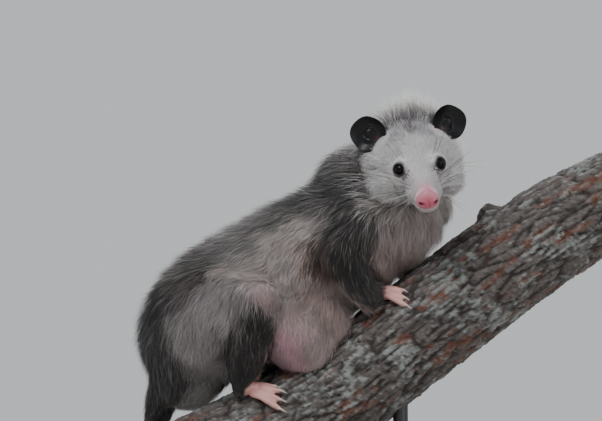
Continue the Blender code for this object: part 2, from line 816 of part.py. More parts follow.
def make_nose():
    nose = ellipsoid("nose", NOSE_PLACE, NOSE_RADII, segments=14, rings=8)
    for side in (-1, 1):
        x, y, z = NOSTRIL_PLACE
        hole = ellipsoid("hole", (x, y * side, z), NOSTRIL_RADII, segments=8, rings=6)
        boolean(nose, hole, "DIFFERENCE")
        drop(hole)
    return nose


def make_head():
    """Head, nose, eyes and ears, made in the head's own frame and then set in place."""
    mass = tube("mass", HEAD, (0, 1, 0), 26, 28, ends=(0.6, 0.5))
    head = fuse("head", [mass], HEAD_VOXEL, 4, HEAD_TRIANGLES)
    skull = copy_of(head, "skull")
    make_mouth(head)
    nose = make_nose()
    eyes = [make_eye("eye_right", -1, head), make_eye("eye_left", 1, head)]
    carve(head, nose, *eyes)
    ears = [make_ear("ear_right", -1, skull), make_ear("ear_left", 1, skull)]
    drop(skull)
    grow_locks(head, head_coat, 5)
    carve(head, *ears, solver="MANIFOLD")
    made = [head, nose, *eyes, *ears]
    frame = head_frame()
    for obj in made:
        obj.data.transform(frame)
    return made


def finish(obj, coat):
    obj.data.materials.clear()
    obj.data.materials.append(coat)
    obj.data.shade_smooth()
    obj.data.set_sharp_from_angle(angle=math.radians(50))


def main():
    clear_scene()
    limb = make_limb()
    stand = make_stand(limb)
    head, *face = make_head()
    legs = make_lower_legs(limb)
    tail = make_tail()
    body = make_body()
    grow_locks(body, body_coat(limb, head), 11)
    carve(body, limb, head, tail[0], *legs, solver="MANIFOLD")
    parts = part_body(body)
    looks = {slot: material(slot, *look) for slot, look in LOOKS.items()}
    for obj in [limb, *stand, head, *face, body, *legs, *tail, *parts]:
        slots = [slot for start, slot in SLOTS.items() if obj.name.startswith(start)]
        finish(obj, looks[slots[0] if slots else "grey_coat"])


main()
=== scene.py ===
"""Looks of an opossum on its limb: skin, coat, eyes, ears, claws, whiskers, bark, stand and studio.

Metres, +Z up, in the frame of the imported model. The animal climbs towards +X and turns its face
towards -Y, to the camera. Its own right side is the near one.
"""

import math
import random

import bmesh
import bpy
import numpy as np
from mathutils import Matrix, Vector, noise
from mathutils.bvhtree import BVHTree
from mathutils.kdtree import KDTree


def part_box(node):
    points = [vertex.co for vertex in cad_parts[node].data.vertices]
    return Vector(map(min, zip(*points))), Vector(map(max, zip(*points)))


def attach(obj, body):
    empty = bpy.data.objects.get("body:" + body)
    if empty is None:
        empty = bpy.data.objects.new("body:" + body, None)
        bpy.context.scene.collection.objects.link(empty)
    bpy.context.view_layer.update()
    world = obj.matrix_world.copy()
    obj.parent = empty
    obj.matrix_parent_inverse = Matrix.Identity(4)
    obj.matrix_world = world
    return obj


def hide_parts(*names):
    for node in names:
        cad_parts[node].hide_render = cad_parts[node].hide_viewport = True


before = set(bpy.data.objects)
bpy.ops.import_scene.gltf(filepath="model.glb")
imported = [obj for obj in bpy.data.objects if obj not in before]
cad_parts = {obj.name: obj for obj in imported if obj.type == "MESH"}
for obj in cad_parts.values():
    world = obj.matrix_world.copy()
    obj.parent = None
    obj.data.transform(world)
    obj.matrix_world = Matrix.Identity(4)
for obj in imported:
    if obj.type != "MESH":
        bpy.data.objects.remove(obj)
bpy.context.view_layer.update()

# The limb's axis from the lower cut end to the upper one: x, y, z, radius
LIMB = (
    (-0.212, 0.027, 0.076, 0.050),
    (-0.140, 0.023, 0.110, 0.050),
    (-0.070, 0.018, 0.143, 0.050),
    (0.014, 0.009, 0.187, 0.049),
    (0.083, 0.000, 0.240, 0.049),
    (0.164, -0.009, 0.302, 0.049),
    (0.232, -0.018, 0.348, 0.047),
    (0.305, -0.022, 0.388, 0.043),
)

# The solids' flesh with its dense underfur: x, y, z, half width, half height
TORSO = (
    (0.091, -0.014, 0.342, 0.028, 0.034),
    (0.062, -0.008, 0.345, 0.043, 0.055),
    (0.014, -0.002, 0.325, 0.050, 0.060),
    (-0.021, 0.010, 0.303, 0.054, 0.066),
    (-0.056, 0.020, 0.279, 0.057, 0.070),
    (-0.089, 0.029, 0.258, 0.055, 0.069),
    (-0.113, 0.036, 0.233, 0.046, 0.057),
    (-0.121, 0.040, 0.204, 0.028, 0.032),
)
NECK = (
    (0.092, -0.042, 0.404, 0.030, 0.030),
    (0.086, -0.020, 0.405, 0.039, 0.038),
    (0.079, -0.012, 0.391, 0.041, 0.042),
    (0.068, -0.008, 0.360, 0.042, 0.046),
)
THIGH = (
    (-0.112, 0.002, 0.256, 0.034, 0.048),
    (-0.082, -0.022, 0.266, 0.027, 0.042),
    (-0.054, -0.038, 0.278, 0.018, 0.023),
)
SHANK = (
    (-0.050, -0.038, 0.276, 0.016, 0.019),
    (-0.057, -0.036, 0.242, 0.013, 0.016),
    (-0.068, -0.026, 0.206, 0.010, 0.011),
)
UPPER_ARM = (
    (0.052, -0.026, 0.352, 0.024, 0.032),
    (0.037, -0.042, 0.338, 0.020, 0.024),
    (0.024, -0.052, 0.323, 0.015, 0.017),
)
FOREARM = (
    (0.021, -0.052, 0.321, 0.014, 0.015),
    (0.035, -0.049, 0.298, 0.011, 0.013),
    (0.051, -0.043, 0.278, 0.009, 0.010),
)
WITHERS_PLACE = (0.046, -0.004, 0.375)
WITHERS_RADII = (0.045, 0.041, 0.048)
POUCH_PLACE = (-0.016, -0.010, 0.246)
POUCH_RADII = (0.036, 0.044, 0.050)
POUCH_TILT = -35
POUCH_BRIDGE = (0.006, -0.008, 0.263)
HIP_MIRROR = 0.030
SHOULDER_MIRROR = -0.005
FAR_LEG_STEP = (-0.003, 0.000, 0.009)
FAR_ARM_STEP = (0.052, 0.004, 0.026)

# How far the skin lies inside the solids, under the dense underfur
BODY_INSET = 0.0055
LEG_INSET = 0.0010

# Where each foot stands on the limb: axis x, degrees from its top towards the camera, lean of the toes
FOOT_PLACES = {
    "hand_right": (0.094, 27, 8),
    "hand_left": (0.140, -38, -4),
    "foot_right": (-0.037, 38, 10),
    "foot_left": (-0.039, -44, -6),
}
HAND_LENGTH = 0.015
FOOT_LENGTH = 0.030
PALM = ((0.30, 0.0080, 0.0090, 0.0060), (0.0, 0.0050, 0.0100, 0.0052))
WRIST = (0.0075, 0.0070)
TOES = 5
TOE_STEP = 4
TOE_SWING = 9
TOE_REACH = 0.62
THUMB_REACH = 0.30
THUMB_SWING = -26
TOE_RADIUS = 0.0030
TOE_ARCH = (0.0030, 0.0054, 0.0044, 0.0026)
CLAW_RADIUS = 0.0013
CLAW_ARCH = (0.0030, 0.0036, 0.0010)
CLAW_STEP = 0.13

TAIL_ROOT = (-0.140, 0.043, 0.205)
TAIL_TURN = (
    (-0.140, -52),
    (-0.146, -95),
    (-0.152, -140),
    (-0.158, -185),
    (-0.163, -230),
    (-0.167, -275),
    (-0.170, -318),
)
TAIL_RADIUS = (0.0125, 0.0050)
TAIL_CLEAR = 0.0035
TAIL_LEAP = 0.006

# The head in its own frame: forward, left and up from the middle of the braincase
HEAD_PLACE = (0.0905, -0.054, 0.4082)
HEAD_PITCH = 24.5
HEAD_YAW = 5.5
HEAD_ROLL = 9.5
# The last number is how far the skin lies inside the solid there
HEAD = (
    (-0.046, 0, 0.000, 0.028, 0.028, 0.006),
    (-0.027, 0, -0.002, 0.041, 0.037, 0.006),
    (-0.005, 0, -0.005, 0.047, 0.041, 0.006),
    (0.012, 0, -0.007, 0.044, 0.037, 0.0055),
    (0.030, 0, -0.008, 0.034, 0.029, 0.0038),
    (0.048, 0, -0.011, 0.021, 0.020, 0.0022),
    (0.064, 0, -0.016, 0.0150, 0.016, 0.0014),
    (0.077, 0, -0.0195, 0.0115, 0.0130, 0.0008),
)
MOUTH = ((0.0740, 62), (0.0660, 50), (0.0560, 43), (0.0460, 37), (0.0380, 32))
EYE_PLACE = (0.0430, 0.0163, 0.0015)
EYE_LOOK = (0.76, 0.58, 0.26)
EYE_RADIUS = 0.0052
EYE_DEPTH = 0.0024
NOSE_PLACE = (0.0805, 0, -0.0180)
NOSE_RADII = (0.0068, 0.0106, 0.0094)
EAR_PLACE = (-0.006, 0.0385, 0.0255)
EAR_LOOK = (0.86, 0.42, 0.28)
EAR_RADIUS = 0.0168
EAR_DEPTH = 0.0065

# Two colours of a hair, from root to tip, the share of pale guard hairs, and how closely hair covers
COLOURS = {
    "white": ((0.80, 0.79, 0.79), (0.95, 0.94, 0.95), 0.08, 1.0),
    "muzzle": ((0.78, 0.75, 0.76), (0.88, 0.86, 0.87), 0.04, 1.0),
    "cream": ((0.70, 0.67, 0.65), (0.90, 0.87, 0.85), 0.15, 1.0),
    "brow": ((0.52, 0.49, 0.49), (0.34, 0.31, 0.31), 0.1, 1.0),
    "crown": ((0.50, 0.48, 0.50), (0.08, 0.07, 0.08), 0.12, 1.9),
    "halo": ((0.74, 0.73, 0.72), (0.97, 0.96, 0.95), 0.6, 2.3),
    "nape": ((0.30, 0.29, 0.30), (0.10, 0.09, 0.10), 0.13, 1.1),
    "grey": ((0.46, 0.45, 0.45), (0.20, 0.19, 0.20), 0.2, 1.0),
    "silver": ((0.56, 0.55, 0.55), (0.40, 0.39, 0.40), 0.32, 1.0),
    "brown": ((0.40, 0.37, 0.36), (0.18, 0.15, 0.14), 0.12, 1.0),
    "beige": ((0.82, 0.78, 0.77), (0.72, 0.66, 0.65), 0.22, 1.0),
    "tan": ((0.38, 0.29, 0.26), (0.20, 0.12, 0.10), 0.08, 1.0),
    "rufous": ((0.54, 0.42, 0.35), (0.46, 0.31, 0.25), 0.10, 1.0),
    "chest": ((0.76, 0.70, 0.70), (0.68, 0.61, 0.60), 0.2, 1.0),
    "belly": ((0.72, 0.64, 0.62), (0.58, 0.50, 0.49), 0.15, 1.0),
    "thigh": ((0.68, 0.65, 0.66), (0.54, 0.51, 0.51), 0.24, 1.0),
    "shoulder": ((0.24, 0.22, 0.23), (0.09, 0.08, 0.09), 0.18, 1.0),
    "dark": ((0.18, 0.15, 0.15), (0.07, 0.055, 0.055), 0.07, 1.0),
    "rump": ((0.24, 0.23, 0.25), (0.09, 0.08, 0.09), 0.09, 1.0),
    "leg": ((0.12, 0.10, 0.10), (0.06, 0.04, 0.04), 0.03, 1.0),
    "pouch": ((0.80, 0.71, 0.71), (0.72, 0.64, 0.64), 0.25, 1.0),
    "bare": ((0.84, 0.66, 0.71), (0.82, 0.68, 0.72), 0.1, 0.85),
    "knee": ((0.72, 0.63, 0.63), (0.66, 0.58, 0.58), 0.15, 1.0),
    "forehead": ((0.66, 0.65, 0.67), (0.74, 0.73, 0.75), 0.10, 1.0),
    "corner": ((0.36, 0.26, 0.26), (0.40, 0.30, 0.31), 0.0, 1.0),
    "tuft": ((0.80, 0.78, 0.76), (0.95, 0.94, 0.92), 0.50, 1.0),
}
SKIN_COLOURS = {"pink": (0.80, 0.60, 0.58), "dark": (0.20, 0.16, 0.16), "lid": (0.10, 0.08, 0.08)}

# How the coat lies on the body: x, y, z, the way a hair points, its length, the height of its tip
# over the skin, how far the row reaches, its colour
BODY_COMB = (
    (0.070, -0.030, 0.440, -0.90, 0.10, -0.10, 0.034, 0.019, 0.014, "halo"),
    (0.052, -0.035, 0.425, -0.90, 0.05, -0.30, 0.027, 0.018, 0.016, "nape"),
    (0.035, -0.010, 0.418, -0.85, 0.10, -0.45, 0.032, 0.019, 0.022, "nape"),
    (0.040, -0.050, 0.400, -0.92, -0.10, -0.30, 0.027, 0.015, 0.018, "nape"),
    (0.030, -0.052, 0.380, -0.85, -0.05, -0.50, 0.029, 0.013, 0.018, "nape"),
    (0.008, -0.040, 0.388, -0.85, 0.00, -0.50, 0.030, 0.015, 0.020, "nape"),
    (0.000, 0.010, 0.390, -0.85, 0.05, -0.50, 0.032, 0.017, 0.026, "nape"),
    (-0.020, -0.030, 0.372, -0.80, 0.00, -0.60, 0.030, 0.015, 0.022, "grey"),
    (-0.050, 0.010, 0.352, -0.80, 0.05, -0.60, 0.032, 0.017, 0.026, "silver"),
    (-0.070, -0.020, 0.342, -0.70, 0.05, -0.70, 0.029, 0.015, 0.022, "silver"),
    (-0.105, 0.015, 0.325, -0.62, 0.05, -0.78, 0.030, 0.018, 0.024, "grey"),
    (-0.110, -0.020, 0.305, -0.50, 0.00, -0.86, 0.027, 0.012, 0.016, "brown"),
    (-0.140, 0.030, 0.288, -0.45, 0.05, -0.90, 0.030, 0.020, 0.022, "rump"),
    (-0.145, 0.020, 0.255, -0.20, 0.05, -0.98, 0.030, 0.016, 0.022, "rump"),
    (-0.140, 0.015, 0.222, -0.12, 0.00, -1.00, 0.027, 0.011, 0.020, "rump"),
    (-0.140, 0.040, 0.200, -0.10, 0.00, -1.00, 0.024, 0.0060, 0.016, "dark"),
    (-0.142, 0.048, 0.180, -0.10, 0.05, -1.00, 0.014, 0.0030, 0.012, "leg"),
    (-0.110, 0.010, 0.188, -0.10, 0.05, -1.00, 0.026, 0.0060, 0.012, "tuft"),
    (-0.014, -0.048, 0.350, -0.60, 0.00, -0.78, 0.026, 0.012, 0.020, "beige"),
    (-0.042, -0.048, 0.330, -0.55, 0.00, -0.82, 0.026, 0.011, 0.022, "beige"),
    (-0.028, -0.050, 0.306, -0.45, 0.00, -0.88, 0.023, 0.010, 0.018, "beige"),
    (-0.075, -0.038, 0.315, -0.50, 0.00, -0.86, 0.026, 0.011, 0.018, "beige"),
    (-0.012, -0.052, 0.328, -0.50, 0.00, -0.85, 0.025, 0.0099, 0.009, "rufous"),
    (-0.014, -0.053, 0.308, -0.45, 0.00, -0.88, 0.025, 0.0099, 0.009, "rufous"),
    (0.078, -0.056, 0.340, -0.10, -0.05, -1.00, 0.024, 0.0090, 0.009, "rufous"),
    (0.070, -0.058, 0.352, -0.20, -0.08, -0.98, 0.024, 0.0090, 0.009, "rufous"),
    (0.002, -0.052, 0.330, -0.45, 0.00, -0.90, 0.025, 0.0099, 0.011, "tan"),
    (0.006, -0.055, 0.310, -0.40, 0.00, -0.92, 0.025, 0.0088, 0.012, "tan"),
    (0.022, -0.050, 0.362, -0.60, 0.00, -0.80, 0.027, 0.012, 0.016, "shoulder"),
    (-0.086, -0.045, 0.292, -0.40, 0.00, -0.92, 0.024, 0.010, 0.018, "thigh"),
    (-0.095, -0.050, 0.265, -0.30, 0.00, -0.96, 0.024, 0.0090, 0.020, "thigh"),
    (-0.114, -0.030, 0.245, -0.28, 0.05, -0.97, 0.026, 0.010, 0.018, "thigh"),
    (-0.118, -0.020, 0.215, -0.15, 0.05, -1.00, 0.024, 0.0090, 0.016, "thigh"),
    (-0.045, -0.055, 0.286, 0.05, 0.00, -1.00, 0.016, 0.0045, 0.010, "knee"),
    (-0.062, -0.058, 0.262, -0.12, 0.00, -1.00, 0.020, 0.0050, 0.012, "dark"),
    (-0.074, -0.052, 0.240, -0.15, 0.00, -1.00, 0.024, 0.0060, 0.013, "dark"),
    (-0.055, -0.052, 0.245, -0.05, 0.00, -1.00, 0.014, 0.0035, 0.012, "leg"),
    (-0.062, -0.045, 0.222, -0.10, 0.00, -1.00, 0.016, 0.0040, 0.013, "leg"),
    (-0.070, -0.035, 0.200, 0.05, 0.00, -1.00, 0.0080, 0.0020, 0.013, "leg"),
    (-0.045, -0.035, 0.192, 0.70, 0.00, -0.70, 0.0050, 0.0010, 0.014, "leg"),
    (0.002, -0.045, 0.284, -0.20, 0.05, -0.96, 0.019, 0.0066, 0.014, "belly"),
    (0.018, -0.040, 0.266, -0.15, 0.05, -0.97, 0.022, 0.0099, 0.014, "belly"),
    (0.020, -0.034, 0.250, -0.05, 0.15, -1.00, 0.024, 0.0110, 0.010, "belly"),
    (0.032, -0.034, 0.262, -0.05, 0.15, -1.00, 0.026, 0.0130, 0.010, "belly"),
    (0.046, -0.034, 0.276, -0.05, 0.15, -1.00, 0.026, 0.0120, 0.010, "belly"),
    (0.032, -0.035, 0.285, -0.20, 0.05, -0.96, 0.020, 0.0077, 0.014, "belly"),
    (-0.010, -0.050, 0.262, -0.12, 0.10, -0.98, 0.018, 0.0070, 0.013, "pouch"),
    (0.008, -0.040, 0.240, -0.10, 0.10, -0.98, 0.018, 0.0070, 0.015, "pouch"),
    (-0.018, -0.054, 0.240, -0.10, 0.10, -0.98, 0.015, 0.0050, 0.012, "bare"),
    (-0.028, -0.048, 0.222, -0.10, 0.15, -0.98, 0.015, 0.0050, 0.014, "bare"),
    (0.084, -0.050, 0.345, -0.05, -0.05, -1.00, 0.024, 0.0099, 0.016, "chest"),
    (0.080, -0.055, 0.322, -0.05, -0.05, -1.00, 0.022, 0.0088, 0.016, "belly"),
    (0.070, -0.058, 0.368, -0.30, -0.10, -0.95, 0.024, 0.0099, 0.012, "tan"),
    (0.108, -0.030, 0.345, 0.15, -0.10, -0.97, 0.024, 0.012, 0.016, "chest"),
    (0.122, -0.015, 0.365, 0.30, 0.00, -0.85, 0.028, 0.012, 0.016, "cream"),
    (0.095, -0.035, 0.310, 0.05, 0.00, -1.00, 0.022, 0.0088, 0.016, "belly"),
)
# The same on the near arm, moved with the arm for the far one
ARM_COMB = (
    (0.042, -0.060, 0.350, -0.25, 0.00, -0.96, 0.030, 0.008, 0.016, "shoulder"),
    (0.030, -0.066, 0.330, -0.15, 0.00, -1.00, 0.024, 0.006, 0.014, "dark"),
    (0.030, -0.062, 0.306, 0.25, 0.00, -0.96, 0.014, 0.0032, 0.014, "leg"),
    (0.045, -0.052, 0.285, 0.50, 0.00, -0.85, 0.010, 0.0022, 0.014, "leg"),
    (0.065, -0.045, 0.280, 0.80, 0.00, 0.20, 0.005, 0.0010, 0.014, "leg"),
)
# The same on the head, in its own frame, and mirrored to its left side
HEAD_COMB = (
    (0.076, 0.000, -0.008, -1.00, 0.00, 0.30, 0.0022, 0.0006, 0.006, "muzzle"),
    (0.068, 0.010, -0.014, -1.00, 0.20, 0.00, 0.0036, 0.0010, 0.008, "muzzle"),
    (0.062, 0.008, -0.030, -0.90, 0.10, -0.50, 0.0060, 0.0020, 0.009, "white"),
    (0.072, 0.000, -0.032, -0.70, 0.00, -0.80, 0.0050, 0.0020, 0.008, "cream"),
    (0.060, 0.000, 0.000, -1.00, 0.00, 0.25, 0.0040, 0.0010, 0.008, "white"),
    (0.048, 0.000, 0.007, -1.00, 0.00, 0.35, 0.0055, 0.0014, 0.010, "white"),
    (0.042, 0.010, 0.010, -1.00, 0.25, 0.35, 0.0065, 0.0020, 0.009, "white"),
    (0.030, 0.020, 0.014, -0.90, 0.45, 0.40, 0.0085, 0.0026, 0.012, "white"),
    (0.030, 0.004, 0.020, -1.00, 0.05, 0.40, 0.0085, 0.0026, 0.008, "white"),
    (0.018, 0.014, 0.028, -0.95, 0.15, 0.40, 0.0095, 0.0030, 0.008, "forehead"),
    (0.010, 0.000, 0.031, -1.00, 0.00, 0.35, 0.0100, 0.0034, 0.0045, "brow"),
    (0.018, 0.000, 0.028, -1.00, 0.00, 0.35, 0.0095, 0.0030, 0.0032, "brow"),
    (0.026, 0.0005, 0.024, -1.00, 0.00, 0.35, 0.0090, 0.0028, 0.0026, "brow"),
    (0.008, 0.012, 0.032, -0.95, 0.15, 0.40, 0.0110, 0.0038, 0.008, "forehead"),
    (0.002, 0.010, 0.034, -0.95, 0.15, 0.50, 0.0110, 0.0050, 0.005, "forehead"),
    (0.0515, 0.0100, -0.0035, -0.90, 0.30, -0.20, 0.0045, 0.0010, 0.0050, "corner"),
    (0.036, 0.024, -0.006, -0.85, 0.55, -0.10, 0.0085, 0.0026, 0.010, "white"),
    (0.050, 0.016, -0.018, -0.92, 0.35, -0.15, 0.0070, 0.0020, 0.009, "white"),
    (0.040, 0.020, -0.024, -0.88, 0.42, -0.30, 0.0100, 0.0032, 0.011, "white"),
    (0.020, 0.036, 0.000, -0.80, 0.60, 0.10, 0.0140, 0.0060, 0.013, "white"),
    (0.014, 0.038, -0.020, -0.75, 0.62, -0.30, 0.0210, 0.0100, 0.014, "white"),
    (0.030, 0.018, -0.036, -0.80, 0.30, -0.60, 0.0150, 0.0055, 0.012, "white"),
    (0.000, 0.042, -0.004, -0.72, 0.68, 0.00, 0.0240, 0.0125, 0.014, "white"),
    (-0.012, 0.044, -0.016, -0.75, 0.50, -0.30, 0.0240, 0.0110, 0.012, "nape"),
    (0.006, 0.026, -0.040, -0.60, 0.40, -0.80, 0.0220, 0.0090, 0.014, "cream"),
    (0.006, 0.028, 0.026, -0.80, 0.40, 0.45, 0.0110, 0.0040, 0.012, "white"),
    (-0.008, 0.000, 0.036, -0.45, 0.00, 0.90, 0.0190, 0.0155, 0.0075, "crown"),
    (-0.009, 0.014, 0.035, -0.45, 0.15, 0.90, 0.0195, 0.0160, 0.0075, "crown"),
    (-0.011, 0.027, 0.030, -0.45, 0.30, 0.85, 0.0190, 0.0155, 0.0075, "crown"),
    (-0.020, 0.000, 0.036, -0.20, 0.00, 0.98, 0.0330, 0.0310, 0.010, "halo"),
    (-0.021, 0.018, 0.034, -0.22, 0.20, 0.98, 0.0330, 0.0300, 0.010, "halo"),
    (-0.024, 0.034, 0.024, -0.35, 0.50, 0.80, 0.0320, 0.0250, 0.011, "halo"),
    (-0.030, 0.042, 0.004, -0.60, 0.70, 0.20, 0.0320, 0.0180, 0.014, "halo"),
    (-0.036, 0.010, 0.022, -0.60, 0.10, 0.75, 0.0340, 0.0240, 0.012, "halo"),
    (-0.044, 0.020, 0.000, -0.80, 0.30, 0.30, 0.0340, 0.0180, 0.014, "nape"),
)


def new_object(name, bm):
    """Turn a bmesh into an object with its faces pointing out."""
    bmesh.ops.recalc_face_normals(bm, faces=bm.faces)
    mesh = bpy.data.meshes.new(name)
    bm.to_mesh(mesh)
    bm.free()
    obj = bpy.data.objects.new(name, mesh)
    bpy.context.scene.collection.objects.link(obj)
    return obj


def drop(*objects):
    for obj in objects:
        bpy.data.objects.remove(obj, do_unlink=True)


def apply_modifiers(obj):
    bpy.context.view_layer.update()
    depsgraph = bpy.context.evaluated_depsgraph_get()
    mesh = bpy.data.meshes.new_from_object(obj.evaluated_get(depsgraph))
    obj.modifiers.clear()
    obj.data = mesh


def boolean(obj, other, operation):
    cut = obj.modifiers.new(operation.lower(), "BOOLEAN")
    cut.operation = operation
    cut.solver = "MANIFOLD"
    cut.object = other
    apply_modifiers(obj)
    drop(other)


def smooth_path(points, count):
    """Spread a number of points along a smooth curve through tuples of any length."""
    last = len(points) - 1
    path = []
    for step in range(count):
        place = last * step / (count - 1)
        first = min(int(place), last - 1)
        t = place - first
        near = [points[min(max(first + shift, 0), last)] for shift in (-1, 0, 1, 2)]
        path.append(tuple(
            b + 0.5 * t * (c - a + t * (2 * a - 5 * b + 4 * c - d + t * (3 * (b - c) + d - a)))
            for a, b, c, d in zip(*near)
        ))
    return path


def tube(name, stations, side, rings, sides, grow=0.0, ends=(1.0, 1.0), caps=(25, 50, 72)):
    """Loft ellipses along a smooth curve through x, y, z, half width, half height, with round ends."""
    path = smooth_path(stations, rings)
    centres = [Vector(station[:3]) for station in path]
    side = Vector(side)
    loops = []
    for i, (_, _, _, half_width, half_height) in enumerate(path):
        tangent = (centres[min(i + 1, rings - 1)] - centres[max(i - 1, 0)]).normalized()
        width = (side - side.dot(tangent) * tangent).normalized()
        height = tangent.cross(width)
        loops.append((centres[i], tangent, width * (half_width + grow), height * (half_height + grow)))
    poles = []
    for end in (0, 1):
        centre, tangent, width, height = loops[-end]
        out = tangent * width.length * ends[end] * (1 if end else -1)
        poles.append(centre + out)
        for degrees in caps:
            angle = math.radians(degrees)
            shrink = math.cos(angle)
            ring = (centre + out * math.sin(angle), tangent, width * shrink, height * shrink)
            loops.insert(len(loops) if end else 0, ring)
    bm = bmesh.new()
    turns = [2 * math.pi * k / sides for k in range(sides)]
    rows = [[bm.verts.new(centre + width * math.cos(a) + height * math.sin(a)) for a in turns]
            for centre, _, width, height in loops]
    for low, high in zip(rows, rows[1:]):
        for k in range(sides):
            bm.faces.new((low[k - 1], low[k], high[k], high[k - 1]))
    for end in (0, 1):
        pole = bm.verts.new(poles[end])
        row = rows[-end]
        for k in range(sides):
            bm.faces.new((row[k - 1], row[k], pole))
    return new_object(name, bm)


def ellipsoid(name, centre, radii, turn=None, segments=32, rings=20):
    bm = bmesh.new()
    bmesh.ops.create_uvsphere(bm, u_segments=segments, v_segments=rings, radius=1)
    shape = (turn or Matrix()).to_4x4() @ Matrix.Diagonal((*radii, 1))
    bmesh.ops.transform(bm, verts=bm.verts, matrix=Matrix.Translation(centre) @ shape)
    return new_object(name, bm)


def fuse(name, pieces, voxel, smoothing):
    """Melt overlapping closed pieces into one smooth body."""
    bm = bmesh.new()
    for piece in pieces:
        bm.from_mesh(piece.data)
    drop(*pieces)
    body = new_object(name, bm)
    melt = body.modifiers.new("melt", "REMESH")
    melt.mode = "VOXEL"
    melt.voxel_size = voxel
    soften = body.modifiers.new("soften", "SMOOTH")
    soften.iterations = smoothing
    apply_modifiers(body)
    return body


def read_points(obj):
    points = np.empty(len(obj.data.vertices) * 3, np.float32)
    obj.data.vertices.foreach_get("co", points)
    return points.reshape(-1, 3).astype(float)


def write_points(obj, points):
    obj.data.vertices.foreach_set("co", points.astype(np.float32).ravel())
    obj.data.update()


def read_normals(obj):
    normals = np.empty(len(obj.data.vertices) * 3, np.float32)
    obj.data.vertex_normals.foreach_get("vector", normals)
    return normals.reshape(-1, 3).astype(float)


def paint(obj, name, colours):
    """Give each vertex a colour."""
    layer = obj.data.color_attributes.new(name, "FLOAT_COLOR", "POINT")
    rgba = np.ones((len(colours), 4), np.float32)
    rgba[:, :3] = colours
    layer.data.foreach_set("color", rgba.ravel())


def linear(colour):
    """Turn colours as a display shows them into the shader's own scale."""
    value = np.asarray(colour, float)
    return np.where(value <= 0.04045, value / 12.92, ((value + 0.055) / 1.055) ** 2.4)


def smoothstep(low, high, value):
    t = np.clip((value - low) / (high - low), 0, 1)
    return t * t * (3 - 2 * t)


def unit(vectors):
    return vectors / np.maximum(np.linalg.norm(vectors, axis=-1, keepdims=True), 1e-9)


def bell(points, centre, reach):
    """A soft spot: 1 at its centre and near 0 past twice its reach."""
    away = (points - np.array(centre)) / np.array(reach)
    return np.exp(-(away ** 2).sum(-1))


def far_side(stations, mirror, step):
    dx, dy, dz = step
    return tuple((x + dx, 2 * mirror - y + dy, z + dz, w, h) for x, y, z, w, h in stations)


def limb_frame(x):
    """The limb's axis point above x, its tangent, top and near directions, and its radius."""
    path = LIMB_PATH
    index = min(range(1, len(path) - 1), key=lambda i: abs(path[i][0] - x))
    before, after = (Vector(path[index + shift][:3]) for shift in (-1, 1))
    tangent = (after - before).normalized()
    centre = Vector(path[index][:3]) + tangent * (x - path[index][0]) / tangent.x
    near = Vector((0, -1, 0))
    near = (near - near.dot(tangent) * tangent).normalized()
    return centre, tangent, near.cross(tangent), near, path[index][3]


LIMB_PATH = smooth_path(LIMB, 60)


def on_limb(x, degrees, lift):
    """A point over the bark, at an angle from the limb's top towards the camera."""
    centre, _, top, near, radius = limb_frame(x)
    angle = math.radians(degrees)
    return centre + (radius + lift) * (math.cos(angle) * top + math.sin(angle) * near)


def head_matrix():
    pitch, yaw, roll = (math.radians(a) for a in (HEAD_PITCH, HEAD_YAW, HEAD_ROLL))
    flat = math.cos(pitch)
    forward = Vector((math.sin(yaw) * flat, -math.cos(yaw) * flat, -math.sin(pitch)))
    level = Vector((0, 0, 1)).cross(forward).normalized()
    plumb = forward.cross(level)
    left = level * math.cos(roll) + plumb * math.sin(roll)
    up = plumb * math.cos(roll) - level * math.sin(roll)
    turn = Matrix((forward, left, up)).transposed().to_4x4()
    return Matrix.Translation(HEAD_PLACE) @ turn


HEAD_FRAME = head_matrix()


def facing(look):
    """A turn that carries +Z to the look direction."""
    return Vector(look).to_track_quat("Z", "Y").to_matrix()


def to_head(points):
    """World points in the head's own frame."""
    inverse = np.array(HEAD_FRAME.inverted())
    return points @ inverse[:3, :3].T + inverse[:3, 3]


# ---- materials


def node_material(name, roughness, **sockets):
    made = bpy.data.materials.new(name)
    made.use_nodes = True
    shader = made.node_tree.nodes["Principled BSDF"]
    shader.inputs["Roughness"].default_value = roughness
    for socket, value in sockets.items():
        shader.inputs[socket.replace("_", " ")].default_value = value
    return made, made.node_tree.nodes, made.node_tree.links, shader


def add(nodes, kind, **settings):
    node = nodes.new(kind)
    for key, value in settings.items():
        if key in node.inputs.keys():
            node.inputs[key].default_value = value
        elif key.replace("_", " ") in node.inputs.keys():
            node.inputs[key.replace("_", " ")].default_value = value
        else:
            setattr(node, key, value)
    return node


def ramp(nodes, links, source, stops):
    made = nodes.new("ShaderNodeValToRGB")
    while len(made.color_ramp.elements) < len(stops):
        made.color_ramp.elements.new(0.5)
    for element, (place, colour) in zip(made.color_ramp.elements, stops):
        element.position = place
        element.color = (*colour, 1)
    links.new(source, made.inputs["Fac"])
    return made.outputs["Color"]


def mixed(nodes, links, share, one, two, blend="MIX"):
    made = nodes.new("ShaderNodeMix")
    made.data_type = "RGBA"
    made.blend_type = blend
    for socket, value in ((made.inputs[0], share), (made.inputs[6], one), (made.inputs[7], two)):
        if isinstance(value, (float, tuple)):
            socket.default_value = value if isinstance(value, float) else (*value, 1)
        else:
            links.new(value, socket)
    return made.outputs[2]


def bump(nodes, links, shader, height, strength, distance):
    made = add(nodes, "ShaderNodeBump", Strength=strength, Distance=distance)
    links.new(height, made.inputs["Height"])
    links.new(made.outputs["Normal"], shader.inputs["Normal"])


